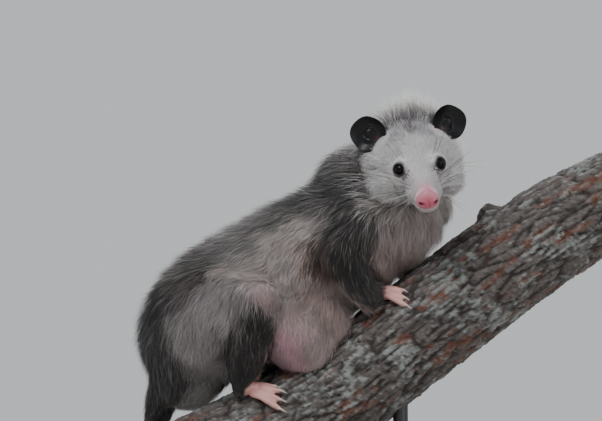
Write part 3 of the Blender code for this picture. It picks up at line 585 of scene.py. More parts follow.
def tinted_material(name, roughness, grain, share, **sockets):
    """A material that takes its colour from the mesh and breaks it up with fine noise."""
    made, nodes, links, shader = node_material(name, roughness, **sockets)
    tint = add(nodes, "ShaderNodeVertexColor", layer_name="tint")
    place = nodes.new("ShaderNodeTexCoord")
    speck = add(nodes, "ShaderNodeTexNoise", Scale=grain, Detail=3.0)
    links.new(place.outputs["Object"], speck.inputs["Vector"])
    shade = ramp(nodes, links, speck.outputs["Fac"], ((0.25, (0.72,) * 3), (0.75, (1.0,) * 3)))
    links.new(mixed(nodes, links, share, tint.outputs["Color"], shade, "MULTIPLY"), shader.inputs["Base Color"])
    return made, nodes, links, shader, place


def skin_material():
    made, nodes, links, shader, place = tinted_material(
        "skin", 0.48, 900.0, 0.5, Subsurface_Weight=0.08, Subsurface_Scale=0.003)
    cells = add(nodes, "ShaderNodeTexVoronoi", Scale=1100.0)
    links.new(place.outputs["Object"], cells.inputs["Vector"])
    bump(nodes, links, shader, cells.outputs["Distance"], 0.35, 0.0004)
    return made


def coat_material():
    return tinted_material("coat", 0.62, 60.0, 0.35, Sheen_Weight=0.15, Sheen_Roughness=0.5)[0]


def bark_material():
    made, nodes, links, shader, place = tinted_material("bark", 0.85, 420.0, 0.9)
    grain = add(nodes, "ShaderNodeTexNoise", Scale=700.0, Detail=4.0)
    links.new(place.outputs["Object"], grain.inputs["Vector"])
    bump(nodes, links, shader, grain.outputs["Fac"], 0.6, 0.0008)
    return made


def tail_material():
    made, nodes, links, shader, place = tinted_material("tail_skin", 0.5, 900.0, 0.5)
    cells = add(nodes, "ShaderNodeTexVoronoi", Scale=900.0)
    links.new(place.outputs["Object"], cells.inputs["Vector"])
    bump(nodes, links, shader, cells.outputs["Distance"], 0.4, 0.0005)
    return made


def nose_material():
    made, nodes, links, shader, place = tinted_material(
        "nose_skin", 0.40, 1600.0, 0.5, Subsurface_Weight=0.15, Subsurface_Scale=0.003, Coat_Weight=0.3,
        Coat_Roughness=0.3)
    cells = add(nodes, "ShaderNodeTexVoronoi", Scale=1500.0)
    links.new(place.outputs["Object"], cells.inputs["Vector"])
    bump(nodes, links, shader, cells.outputs["Distance"], 0.6, 0.0004)
    return made


def ear_material():
    made, nodes, links, shader, place = tinted_material(
        "ear_skin", 0.36, 500.0, 0.6, Specular_IOR_Level=0.26)
    grain = add(nodes, "ShaderNodeTexNoise", Scale=900.0, Detail=3.0)
    links.new(place.outputs["Object"], grain.inputs["Vector"])
    bump(nodes, links, shader, grain.outputs["Fac"], 0.5, 0.0004)
    return made


def eye_material():
    made, nodes, links, shader = node_material("eye", 0.04, Specular_IOR_Level=0.16)
    place = nodes.new("ShaderNodeTexCoord")
    cloud = add(nodes, "ShaderNodeTexNoise", Scale=260.0, Detail=2.0)
    links.new(place.outputs["Object"], cloud.inputs["Vector"])
    colour = ramp(nodes, links, cloud.outputs["Fac"], ((0.3, (0.0015, 0.001, 0.001)), (0.8, (0.005, 0.003, 0.002))))
    links.new(colour, shader.inputs["Base Color"])
    return made


def horn_material():
    made, nodes, links, shader = node_material("claw", 0.35, Subsurface_Weight=0.1, Subsurface_Scale=0.002)
    place = nodes.new("ShaderNodeTexCoord")
    cloud = add(nodes, "ShaderNodeTexNoise", Scale=500.0, Detail=2.0)
    links.new(place.outputs["Object"], cloud.inputs["Vector"])
    colour = ramp(nodes, links, cloud.outputs["Fac"], ((0.3, (0.42, 0.33, 0.27)), (0.8, (0.70, 0.62, 0.55))))
    links.new(colour, shader.inputs["Base Color"])
    return made


def stand_material():
    made, nodes, links, shader = node_material("stand_paint", 0.42, Metallic=0.35)
    place = nodes.new("ShaderNodeTexCoord")
    grain = add(nodes, "ShaderNodeTexNoise", Scale=900.0, Detail=2.0)
    links.new(place.outputs["Object"], grain.inputs["Vector"])
    colour = ramp(nodes, links, grain.outputs["Fac"], ((0.3, (0.030, 0.030, 0.032)), (0.8, (0.045, 0.045, 0.048))))
    links.new(colour, shader.inputs["Base Color"])
    bump(nodes, links, shader, grain.outputs["Fac"], 0.15, 0.0003)
    return made


def floor_material(colour):
    made, nodes, links, shader = node_material("floor", 0.8)
    place = nodes.new("ShaderNodeTexCoord")
    grain = add(nodes, "ShaderNodeTexNoise", Scale=6.0, Detail=2.0)
    links.new(place.outputs["Object"], grain.inputs["Vector"])
    low, high = (tuple(c * f for c in colour) for f in (0.98, 1.0))
    links.new(ramp(nodes, links, grain.outputs["Fac"], ((0.3, low), (0.7, high))), shader.inputs["Base Color"])
    return made


# ---- the skin


def wear(obj, material, slot_name, *nodes, smooth=True):
    """Set a piece on the model: its material and the solids that it stands for. Its slot name is not used."""
    obj.data.materials.clear()
    obj.data.materials.append(material)
    if smooth:
        obj.data.shade_smooth()
    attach(obj, "root")
    if nodes:
        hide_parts(*nodes)
    return obj


def tree_of(obj):
    bm = bmesh.new()
    bm.from_mesh(obj.data)
    tree = BVHTree.FromBMesh(bm)
    bm.free()
    return tree


def make_body_skin():
    turn = Matrix.Rotation(math.radians(POUCH_TILT), 3, "Y")
    across = (0, 1, 0)
    inset = -BODY_INSET
    withers = [r - BODY_INSET for r in WITHERS_RADII]
    pouch = [r - BODY_INSET for r in POUCH_RADII]
    pieces = [
        tube("mass", TORSO, across, 50, 48, inset),
        tube("mass", NECK, (1, 0, 0), 24, 40, inset),
        tube("mass", THIGH, across, 20, 32, inset),
        tube("mass", far_side(THIGH, HIP_MIRROR, FAR_LEG_STEP), across, 20, 32, inset),
        tube("mass", UPPER_ARM, across, 20, 32, inset),
        tube("mass", far_side(UPPER_ARM, SHOULDER_MIRROR, FAR_ARM_STEP), across, 20, 32, inset),
        ellipsoid("mass", WITHERS_PLACE, withers),
        ellipsoid("mass", POUCH_PLACE, pouch, turn),
        ellipsoid("mass", POUCH_BRIDGE, (0.034, 0.036, 0.023), Matrix.Rotation(math.radians(45), 3, "Y")),
    ]
    sleeve = []
    for step, (x, y, z, half, _) in enumerate(smooth_path(tail_route(), 200)[:20]):
        wide = half * (1.06 - 0.010 * step) + 0.0006
        sleeve.append((x, y, z, wide, wide))
    pieces.append(tube("mass", sleeve, (1, 0.2, 0), 20, 32))
    return fuse("skin", pieces, 0.0024, 40)


def lower_legs():
    return {
        "hand_right": FOREARM,
        "hand_left": far_side(FOREARM, SHOULDER_MIRROR, FAR_ARM_STEP),
        "foot_right": SHANK,
        "foot_left": far_side(SHANK, HIP_MIRROR, FAR_LEG_STEP),
    }


def toe_routes(name):
    """Where each toe of a foot runs over the bark: its start, reach and swing along the limb."""
    x, degrees, lean = FOOT_PLACES[name]
    length = HAND_LENGTH if name.startswith("hand") else FOOT_LENGTH
    turn = math.copysign(1, degrees)
    routes = []
    for toe in range(TOES):
        spread = (toe - 2) / 2
        start = (x + 0.002 - abs(spread) * 0.003, degrees + (toe - 2) * TOE_STEP)
        reach = length * TOE_REACH * (1 - 0.18 * abs(spread)) if toe else length * THUMB_REACH
        swing = (spread * TOE_SWING + lean if toe else THUMB_SWING * turn) + turn * TOE_SWING
        routes.append((start, reach, swing))
    return routes


def make_foot_skin(name, leg):
    """A lower leg, its palm and five toes, each toe with a pad at its tip and low joints."""
    x, degrees, _ = FOOT_PLACES[name]
    length = HAND_LENGTH if name.startswith("hand") else FOOT_LENGTH
    palm = [(*leg[-1][:3], *(r - 0.0006 for r in WRIST))]
    for behind, lift, half_width, half_height in PALM:
        palm.append((*on_limb(x - length * behind, degrees, lift), half_width, half_height))
    side = limb_frame(x)[3]
    pieces = [tube("mass", leg, (0, 1, 0), 24, 32, LEG_INSET - 0.001), tube("mass", palm, side, 14, 24)]
    for start, reach, swing in toe_routes(name):
        route = []
        for step, lift in enumerate(TOE_ARCH):
            share = step / (len(TOE_ARCH) - 1)
            thick = TOE_RADIUS * (1.0, 0.86, 0.92, 0.80)[step]
            route.append((*on_limb(start[0] + reach * share, start[1] + swing * share, lift), thick, thick))
        pieces.append(tube("mass", route, side, 16, 16))
        pad = on_limb(start[0] + reach * 0.86, start[1] + swing * 0.86, 0.0024)
        pieces.append(ellipsoid("mass", pad, (0.0030,) * 3, segments=16, rings=10))
    return fuse("foot", pieces, 0.0011, 3)


def make_claws():
    """A short curved claw at each toe's tip."""
    bm = bmesh.new()
    for name in FOOT_PLACES:
        side = limb_frame(FOOT_PLACES[name][0])[3]
        for start, reach, swing in toe_routes(name):
            claw = []
            for step, lift in enumerate((0.0034, 0.0042, 0.0030, 0.0006)):
                share = 0.98 + step * CLAW_STEP * 0.80
                thick = CLAW_RADIUS * (1.0, 0.85, 0.55, 0.20)[step]
                claw.append((*on_limb(start[0] + reach * share, start[1] + swing * share, lift), thick * 0.8, thick))
            piece = tube("claw", claw, side, 10, 10)
            bm.from_mesh(piece.data)
            drop(piece)
    return new_object("claws", bm)


def eye_centres():
    """The eyes' centres from the solids, in the head's own frame, near eye first."""
    inverse = HEAD_FRAME.inverted()
    centres = []
    for node in ("eye_right", "eye_left"):
        low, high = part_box(node)
        centres.append(inverse @ ((low + high) / 2))
    return centres


def eye_look(side):
    x, y, z = EYE_LOOK
    return Vector((x, y * side, z)).normalized()


# Lids round an eye: distance from its middle line and height over its centre, in shares of a millimetre
LID_PROFILE = (
    (0.0030, -0.0030),
    (0.0043, 0.0014),
    (0.0045, 0.0026),
    (0.0050, 0.0034),
    (0.0058, 0.0033),
    (0.0068, 0.0024),
    (0.0085, 0.0004),
    (0.0105, -0.0024),
    (0.0120, -0.0060),
)


def make_lid(centre, side):
    """A soft ring of lid round an eye, a little longer towards the nose and the temple."""
    turn = facing(eye_look(side))
    sides = 56
    bm = bmesh.new()
    rows = []
    for radius, height in LID_PROFILE:
        row = []
        for k in range(sides):
            angle = 2 * math.pi * k / sides
            wide = Vector((math.cos(angle), math.sin(angle), 0))
            level = (turn @ wide).x
            stretch = 1 + 0.10 * level * level
            crease = 0.00035 * math.sin(angle * 3 + 1) * (1 if radius > 0.0055 else 0)
            row.append(bm.verts.new(centre + turn @ (wide * radius * stretch + Vector((0, 0, height + crease)))))
        rows.append(row)
    for low, high in zip(rows, rows[1:]):
        for k in range(sides):
            bm.faces.new((low[k - 1], low[k], high[k], high[k - 1]))
    bm.faces.new(rows[0])
    bm.faces.new(rows[-1])
    return new_object("lid", bm)


def mouth_line(tree):
    """The line of the mouth round the muzzle, in the head's own frame."""
    line = []
    for side in (1, -1):
        for x, degrees in MOUTH if side < 0 else MOUTH[::-1]:
            angle = math.radians(degrees)
            look = Vector((0, side * math.cos(angle), -math.sin(angle)))
            line.append(tuple(tree.ray_cast(Vector((x, 0, -0.011)) + look * 0.1, -look)[0]))
    return smooth_path(line, 90)


def make_head_skin():
    """Skull, cheeks, whisker pads and brows melted into one, with the mouth and the lids."""
    stations = [(x, y, z, w - inset, h - inset) for x, y, z, w, h, inset in HEAD]
    pieces = [tube("mass", stations, (0, 1, 0), 60, 64, ends=(0.6, 0.5))]
    for side in (-1, 1):
        pieces += [
            ellipsoid("mass", (0.060, side * 0.0088, -0.0155), (0.015, 0.0072, 0.0082)),
            ellipsoid("mass", (0.012, side * 0.026, -0.017), (0.026, 0.014, 0.018)),
            ellipsoid("mass", (0.034, side * 0.012, 0.0085), (0.013, 0.009, 0.0055)),
        ]
    head = fuse("head", pieces, 0.0009, 7)
    points = read_points(head)
    normals = read_normals(head)
    line = mouth_line(tree_of(head))
    kd = KDTree(len(line))
    for i, place in enumerate(line):
        kd.insert(place, i)
    kd.balance()
    away = np.array([kd.find(Vector(p))[2] for p in points])
    groove = np.clip(1 - (away / 0.0013) ** 2, 0, None) * 0.0013
    lip = np.exp(-((away - 0.0024) / 0.0012) ** 2) * 0.0005
    points += normals * (lip - groove)[:, None]
    write_points(head, points)
    for centre, side in zip(eye_centres(), (-1, 1)):
        boolean(head, make_lid(centre, side), "UNION")
        ball = ellipsoid("ball", centre, (EYE_RADIUS + 0.0001,) * 3, segments=64, rings=48)
        boolean(head, ball, "DIFFERENCE")
    head.data.transform(HEAD_FRAME)
    return head, line


def make_nose():
    """A bare nose pad, deep rose below and paler above, with a nostril open to each side."""
    nose = ellipsoid("nose_pad", (0, 0, 0), (1, 1, 1), Matrix.Rotation(math.radians(90), 3, "Y"), 128, 80)
    points = read_points(nose)
    surface = points * np.array(NOSE_RADII)
    surface[:, 1] *= 1 - 0.30 * smoothstep(0.0, 1.0, points[:, 2]) + 0.04 * smoothstep(0.0, -0.6, points[:, 2])
    # deep is the colour of the painted shade inside the nostrils.
    rose, pale, deep = linear((0.72, 0.30, 0.38)), linear((0.74, 0.50, 0.56)), linear((0.34, 0.11, 0.14))
    lower = bell(surface, (0.006, 0.0, -0.0018), (0.014, 0.0092, 0.0072))[:, None]
    tint = pale * (1 - lower) + rose * lower
    for side in (-1, 1):
        away_y = surface[:, 1] * side - 0.0060
        away_z = surface[:, 2] + 0.0026
        hole = np.exp(-((away_y / 0.0021) ** 2 + ((away_z - away_y * 0.5) / 0.0013) ** 2) ** 1.4)
        depth = np.clip(hole, 0, 1) * 0.0032 * (points[:, 0] > -0.1)
        rim = np.exp(-((np.hypot(away_y, away_z * 1.3) - 0.0032) / 0.0010) ** 2) * 0.0004
        surface -= np.array((1.0, -0.45 * side, 0.0)) * (depth - rim * (points[:, 0] > 0))[:, None]
        # Painted shade: each nostril is painted dark where it sinks in.
        dark = np.clip(hole * 0.9, 0, 1)[:, None]
        tint = tint * (1 - dark) + deep * dark
    groove = np.exp(-(surface[:, 1] / 0.0008) ** 2) * smoothstep(0.0015, -0.0035, surface[:, 2])
    surface[:, 0] -= groove * 0.0006
    # Painted shade: the pad is darker along its middle groove.
    tint *= (1 - 0.20 * groove)[:, None]
    write_points(nose, surface + np.array(NOSE_PLACE))
    paint(nose, "tint", tint)
    nose.data.transform(HEAD_FRAME)
    return nose


def make_ear(name, side):
    """A thin round cup with fine creases and a fold at its base, on a short stalk."""
    look = Vector((EAR_LOOK[0], EAR_LOOK[1] * side, EAR_LOOK[2])).normalized()
    sides = 120
    inner = [(k / 26, 0.0) for k in range(1, 27)]
    outer = [(k / 26 * 1.0, -0.0009) for k in range(26, 0, -1)]
    bm = bmesh.new()
    rows = []
    tints = []
    for number, (share, back) in enumerate(inner + outer):
        row = []
        for k in range(sides):
            angle = 2 * math.pi * k / sides
            wobble = 1 + 0.035 * math.cos(angle * 2 + 0.6) + 0.012 * math.sin(angle * 5 + side)
            radius = EAR_RADIUS * share * wobble
            depth = -EAR_DEPTH * (1 - share ** 2.2)
            depth += 0.0010 * share ** 3 * math.sin(angle * 3 + 1.3 * side)
            depth += 0.00012 * math.sin(share * 21 + math.cos(angle * 2 + 0.7) * 2.5) * share * (1 - share) * 3
            depth += 0.0022 * math.exp(-((share - 0.35) / 0.14) ** 2) * max(0.0, math.cos(angle + 1.9)) ** 3
            row.append(bm.verts.new((radius * math.cos(angle), radius * math.sin(angle), depth + back)))
            deep = 1 - share if back == 0.0 else 0.0
            tints.append(deep * max(0.0, math.cos(angle + 1.9 * side)) ** 2)
        rows.append(row)
    for low, high in zip(rows, rows[1:]):
        for k in range(sides):
            bm.faces.new((low[k - 1], low[k], high[k], high[k - 1]))
    bm.faces.new(rows[0])
    bm.faces.new(rows[-1])
    x, y, z = EAR_PLACE
    place = Matrix.Translation((x, y * side, z)) @ facing(look).to_4x4()
    bmesh.ops.transform(bm, verts=bm.verts, matrix=place)
    ear = new_object(name, bm)
    centre = Vector((x, y * side, z)) - look * (EAR_DEPTH + 0.0012)
    root = Vector((x - 0.0064, y * side * 0.60, z * 0.45))
    stations = ((*root, 0.010, 0.007), (*root.lerp(centre, 0.6), 0.009, 0.006),
                (*(centre + look * 0.0006), 0.006, 0.004))
    boolean(ear, tube("stalk", stations, (0, 0, 1), 12, 32), "UNION")
    points = read_points(ear)
    local = (points - np.array((x, y * side, z))) @ np.array(facing(look))
    deep = smoothstep(-0.0008, -0.0055, local[:, 2]) * smoothstep(0.012, 0.004, np.hypot(local[:, 0], local[:, 1]))
    spot = bell(points, (x + 0.004, (y - 0.0085) * side, z - 0.005), (0.0035, 0.0030, 0.0040)) * deep
    colours = linear((0.045, 0.045, 0.06)) + (linear((0.75, 0.52, 0.54)) - linear((0.045, 0.045, 0.06))) * spot[:, None]
    paint(ear, "tint", colours)
    ear.data.transform(HEAD_FRAME)
    return ear


def tail_route():
    """The tail's path from its root: x, y, z, half width, half height."""
    start, tip = TAIL_RADIUS
    count = len(TAIL_TURN)
    route = [(*TAIL_ROOT, start, start)]
    for step, (x, degrees) in enumerate(TAIL_TURN):
        radius = start + (tip - start) * (step + 1) / count
        lift = radius + TAIL_CLEAR + (0 if step else TAIL_LEAP)
        route.append((*on_limb(x, degrees, lift), radius, radius))
    return route


def make_tail():
    """The whole tail: rings of small scales, wound round the limb."""
    route = tail_route()
    rings, sides = 520, 44
    tail = tube("tail", route, (1, 0.2, 0), rings, sides)
    points = read_points(tail)
    normals = read_normals(tail)
    path = np.array([p[:3] for p in smooth_path(route, rings)])
    kd = KDTree(rings)
    for i, place in enumerate(path):
        kd.insert(place, i)
    kd.balance()
    along = np.array([kd.find(Vector(p))[1] for p in points]) / rings
    wave = np.abs(np.sin(along * rings * math.pi / 4))
    points += normals * (wave * 0.00035 - 0.0002)[:, None]
    write_points(tail, points)
    black, pink = linear((0.13, 0.11, 0.11)), linear((0.78, 0.66, 0.62))
    patch = np.array([noise.noise(Vector(p) * 60) for p in points])
    share = smoothstep(0.20, 0.34, along + patch * 0.06)[:, None]
    # Painted shade: the tail is darker in the grooves between its rings of scales.
    tint = (black * (1 - share) + pink * share) * (0.72 + 0.28 * wave)[:, None]
    paint(tail, "tint", tint)
    return tail


# ---- the limb and its stand


def make_limb():
    """Bark in long plates with furrows between them, lichen on its ridges, and sawn ends."""
    rings, sides, inner = 380, 170, 46
    path = np.array(smooth_path(LIMB, rings))
    centres, radii = path[:, :3], path[:, 3]
    tangents = unit(np.gradient(centres, axis=0))
    near = np.array((0.0, -1.0, 0.0)) - tangents * (-tangents[:, 1:2])
    near = unit(near)
    top = np.cross(near, tangents)
    along = np.concatenate(([0], np.cumsum(np.linalg.norm(np.diff(centres, axis=0), axis=1))))
    turns = np.arange(sides) * 2 * math.pi / sides
    knob_x, knob_turn = 0.190, math.radians(6)
    bm_points = []
    tints = []
    furrow, ridge, pale = linear((0.16, 0.13, 0.12)), linear((0.34, 0.315, 0.305)), linear((0.48, 0.47, 0.46))
    lichen, black, red = linear((0.54, 0.56, 0.55)), linear((0.07, 0.065, 0.065)), linear((0.42, 0.26, 0.20))
    for i in range(rings):
        for k in range(sides):
            a = turns[k]
            c, s = math.cos(a) * 0.05, math.sin(a) * 0.05
            place = Vector((c, s, along[i]))
            warp = noise.noise_vector(place * 22) * 0.006
            cell = Vector(((c + warp.x) / 0.0090, (s + warp.y) / 0.0090, (along[i] + warp.z * 2) / 0.042))
            first, second = noise.voronoi(cell)[0][:2]
            plate = min(1.0, max(0.0, (second - first) / 0.20))
            plate = plate * plate * (3 - 2 * plate)
            crack = noise.voronoi(Vector((c / 0.0048, s / 0.0048, along[i] / 0.0100)) + warp * 90)[0]
            flake = min(1.0, (crack[1] - crack[0]) / 0.16)
            rough = noise.fractal(place * 260, 0.9, 2.0, 3)
            swell = noise.noise(place * 14)
            lumps = noise.noise(place * 95)
            height = -0.0030 * (1 - plate) - 0.0011 * (1 - flake) + 0.0008 * rough + 0.0012 * swell + 0.0008 * lumps
            if abs(centres[i, 0] - knob_x) < 0.03:
                reach = math.hypot(centres[i, 0] - knob_x, (a - knob_turn) * 0.05 if a < math.pi else 1)
                height += 0.0095 * math.exp(-(reach / 0.0080) ** 4)
            out = top[i] * math.cos(a) + near[i] * math.sin(a)
            bm_points.append(centres[i] + out * (radii[i] + height - 0.0006))
            # The furrows are painted darker than the plates: partly the bark's own colour, partly painted shade.
            tint = furrow + (ridge - furrow) * plate
            streak = Vector((c * 105, s * 105, along[i] * 24 + 7))
            reddish = noise.noise(streak) + 0.5 * noise.noise(place * 130 + Vector((2, 0, 0)))
            tint = tint + (red - tint) * (0.75 * min(1.0, max(0.0, reddish * 4 - 1.0)))
            tint = tint + (pale - tint) * (0.60 * plate * min(1.0, max(0.0, rough * 1.6 + 0.05)))
            fleck = noise.noise(Vector((c * 260, s * 260, along[i] * 90)))
            patch = 0.8 * noise.noise(place * 30 + Vector((5, 0, 0))) + 0.9 * fleck + 0.4 * rough
            if patch > 0.24:
                tint = tint + (lichen - tint) * min(0.85, (patch - 0.24) * 3.5) * (0.35 + 0.65 * plate)
            spots = noise.voronoi(place * 330)[0][0]
            if spots < 0.22 and noise.noise(place * 45 + Vector((0, 9, 0))) > 0.05:
                tint = tint + (black - tint) * 0.85
            # Painted shade: the plates are darker in the cracks between their flakes.
            elif flake < 0.5 and plate > 0.5:
                tint = tint * (0.62 + 0.76 * flake)
            tints.append(tint)
    points = list(bm_points)
    wood, dark_wood, heart = linear((0.72, 0.58, 0.42)), linear((0.52, 0.38, 0.25)), linear((0.50, 0.36, 0.25))
    faces = []
    for i in range(rings - 1):
        for k in range(sides):
            m = (k + 1) % sides
            faces.append((i * sides + k, i * sides + m, (i + 1) * sides + m, (i + 1) * sides + k))
    for end in (0, rings - 1):
        before = [end * sides + k for k in range(sides)]
        for ring in range(1, inner + 1):
            share = 1 - ring / inner
            row = []
            count = sides if ring < inner else 1
            for k in range(count):
                a = turns[k]
                edge = np.array(points[end * sides + k]) - centres[end]
                place = centres[end] + edge * share
                saw = noise.noise(Vector(place) * 220) * 0.00025
                row.append(len(points))
                points.append(place + tangents[end] * saw)
                bend = noise.noise(Vector((math.cos(a), math.sin(a), share * 2))) * 0.9
                year = 0.5 + 0.5 * math.sin(share * 105 + bend * 3)
                tint = wood + (dark_wood - wood) * (year ** 3 * 0.8)
                tint = tint + (heart - tint) * (0.6 * max(0.0, 1 - share / 0.4))
                bark_edge = min(1.0, max(0.0, (share - 0.90) / 0.04))
                tints.append(tint + (furrow - tint) * bark_edge)
            for k in range(sides):
                m = (k + 1) % sides
                if count > 1:
                    faces.append((before[k], before[m], row[m], row[k]))
                else:
                    faces.append((before[k], before[m], row[0]))
            before = row
    mesh = bpy.data.meshes.new("limb_bark")
    mesh.from_pydata([tuple(p) for p in points], [], faces)
    bm = bmesh.new()
    bm.from_mesh(mesh)
    limb = new_object("limb_bark", bm)
    bpy.data.meshes.remove(mesh)
    paint(limb, "tint", np.array(tints))
    return limb


def make_rods():
    """The two rods of the stand, run on into the limb."""
    made = []
    for name in ("stand_rod_low", "stand_rod_high"):
        low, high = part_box(name)
        x, y = (low.x + high.x) / 2, (low.y + high.y) / 2
        radius = (high.x - low.x) / 2
        middle = limb_frame(x)[0].z
        rod = tube(name + "_turned", ((x, y, low.z, radius, radius), (x, y, middle - 0.03, radius, radius)),
                   (0, 1, 0), 24, 48, ends=(0.02, 0.02))
        made.append((rod, name))
    return made


# ---- the coat


def mirror_of(x):
    """Where the middle plane of the body lies, from hips to shoulders."""
    share = min(1.0, max(0.0, (x + 0.09) / 0.14))
    return HIP_MIRROR + (SHOULDER_MIRROR - HIP_MIRROR) * share


def comb_table():
    """Every row of the combs in the model's frame, with its twin on the other side."""
    rows = []
    for row in BODY_COMB:
        x, y, z = row[:3]
        lie = Vector(row[3:6]).normalized()
        rows.append(((x, y, z), tuple(lie), *row[6:]))
        middle = mirror_of(x)
        if y < middle - 0.012:
            rows.append(((x, 2 * middle - y, z), (lie.x, -lie.y, lie.z), *row[6:]))
    for row in ARM_COMB:
        x, y, z = row[:3]
        lie = Vector(row[3:6]).normalized()
        dx, dy, dz = FAR_ARM_STEP
        rows.append(((x, y, z), tuple(lie), *row[6:]))
        rows.append(((x + dx, 2 * SHOULDER_MIRROR - y + dy, z + dz), (lie.x, -lie.y, lie.z), *row[6:]))
    turn = HEAD_FRAME.to_3x3()
    for row in HEAD_COMB:
        for side in (-1, 1) if row[1] else (1,):
            place = HEAD_FRAME @ Vector((row[0], row[1] * side, row[2]))
            lie = turn @ Vector((row[3], row[4] * side, row[5])).normalized()
            rows.append((tuple(place), tuple(lie), *row[6:]))
    return rows


COMB = comb_table()
COMB_PLACES = np.array([row[0] for row in COMB])
COMB_LIES = np.array([row[1] for row in COMB])
COMB_LENGTHS = np.array([row[2] for row in COMB])
COMB_RISES = np.array([row[3] for row in COMB])
COMB_REACHES = np.array([row[4] for row in COMB])
COMB_UNDER = linear([COLOURS[row[5]][0] for row in COMB])
COMB_TIP = linear([COLOURS[row[5]][1] for row in COMB])
COMB_GUARD = np.array([COLOURS[row[5]][2] for row in COMB])
COMB_COVER = np.array([COLOURS[row[5]][3] for row in COMB])


def comb_weights(points):
    """How much each row of the comb counts at each point."""
    away = np.linalg.norm(points[:, None, :] - COMB_PLACES[None], axis=2) / COMB_REACHES
    weights = np.exp(-away ** 2) + 1e-7 / (1 + away ** 4)
    return weights / weights.sum(1, keepdims=True)


def limb_depth(points):
    """How far points lie inside the limb's bark, negative outside it."""
    path = np.array(LIMB_PATH)
    deepest = np.full(len(points), -1.0)
    for first, second in zip(path, path[1:]):
        step = second[:3] - first[:3]
        share = np.clip(((points - first[:3]) @ step) / (step @ step), 0, 1)
        away = np.linalg.norm(points - first[:3] - share[:, None] * step, axis=1)
        deepest = np.maximum(deepest, first[3] + (second[3] - first[3]) * share - away)
    return deepest


def foot_bareness(points):
    """1 on the bare toes and palms, 0 up the leg."""
    bare = np.zeros(len(points))
    for name, (x, degrees, _) in FOOT_PLACES.items():
        palm = 0.009 if name.startswith("hand") else 0.013
        marks = [(on_limb(x + 0.002, degrees, 0.003), palm)]
        for start, reach, swing in toe_routes(name):
            for step in range(9):
                share = step / 8 * 1.1
                marks.append((on_limb(start[0] + reach * share, start[1] + swing * share, 0.004), 0.0055))
        for place, size in marks:
            away = np.linalg.norm(points - np.array(place), axis=1)
            bare = np.maximum(bare, smoothstep(size + 0.003, size, away))
    return bare


def in_ears(points):
    """Whether points lie in the cup of an ear."""
    local = to_head(points)
    inside = np.zeros(len(points), bool)
    for side in (-1, 1):
        look = Vector((EAR_LOOK[0], EAR_LOOK[1] * side, EAR_LOOK[2])).normalized()
        away = (local - np.array((EAR_PLACE[0], EAR_PLACE[1] * side, EAR_PLACE[2]))) @ np.array(facing(look))
        radius = np.hypot(away[:, 0], away[:, 1])
        inside |= (radius < EAR_RADIUS * 1.03) & (away[:, 2] > -EAR_DEPTH - 0.002) & (away[:, 2] < 0.006)
    return inside


def in_nose(points):
    local = (to_head(points) - np.array(NOSE_PLACE)) / (np.array(NOSE_RADII) + 0.0006)
    return (local ** 2).sum(1) < 1


def march(tree, roots, normals, lies, runs, rises, shares):
    """Lead each hair over the skin from its root to its tip, at the shares of its length given."""
    place, out = roots, normals
    points, outs = [roots - normals * 0.0007], [normals]
    before = 0.0
    for share in shares:
        ahead = place + lies * (runs * (share - before))[:, None]
        found = [tree.find_nearest(Vector(p)) for p in ahead]
        place = np.array([f[0] for f in found])
        out = unit(out + np.array([f[1] for f in found]))
        lies = unit(lies - (lies * out).sum(1, keepdims=True) * out)
        points.append(place + out * (rises * share ** 0.75)[:, None])
        outs.append(out)
        before = share
    return np.stack(points, 1), np.stack(outs, 1)


def clump(points, roots, every, pull, draw):
    """Draw hairs towards the one in the middle of their tuft, most at their tips. Returns the tufts."""
    middles = draw.choice(len(roots), max(1, len(roots) // every), replace=False)
    kd = KDTree(len(middles))
    for i, index in enumerate(middles):
        kd.insert(roots[index], i)
    kd.balance()
    tuft = np.array([kd.find(Vector(root))[1] for root in roots])
    lead = points[middles[tuft]]
    shares = np.linspace(0, 1, points.shape[1])
    for step, share in enumerate(shares):
        points[:, step] += (lead[:, step] - points[:, step]) * (pull * share ** 1.4)[:, None]
    return tuft


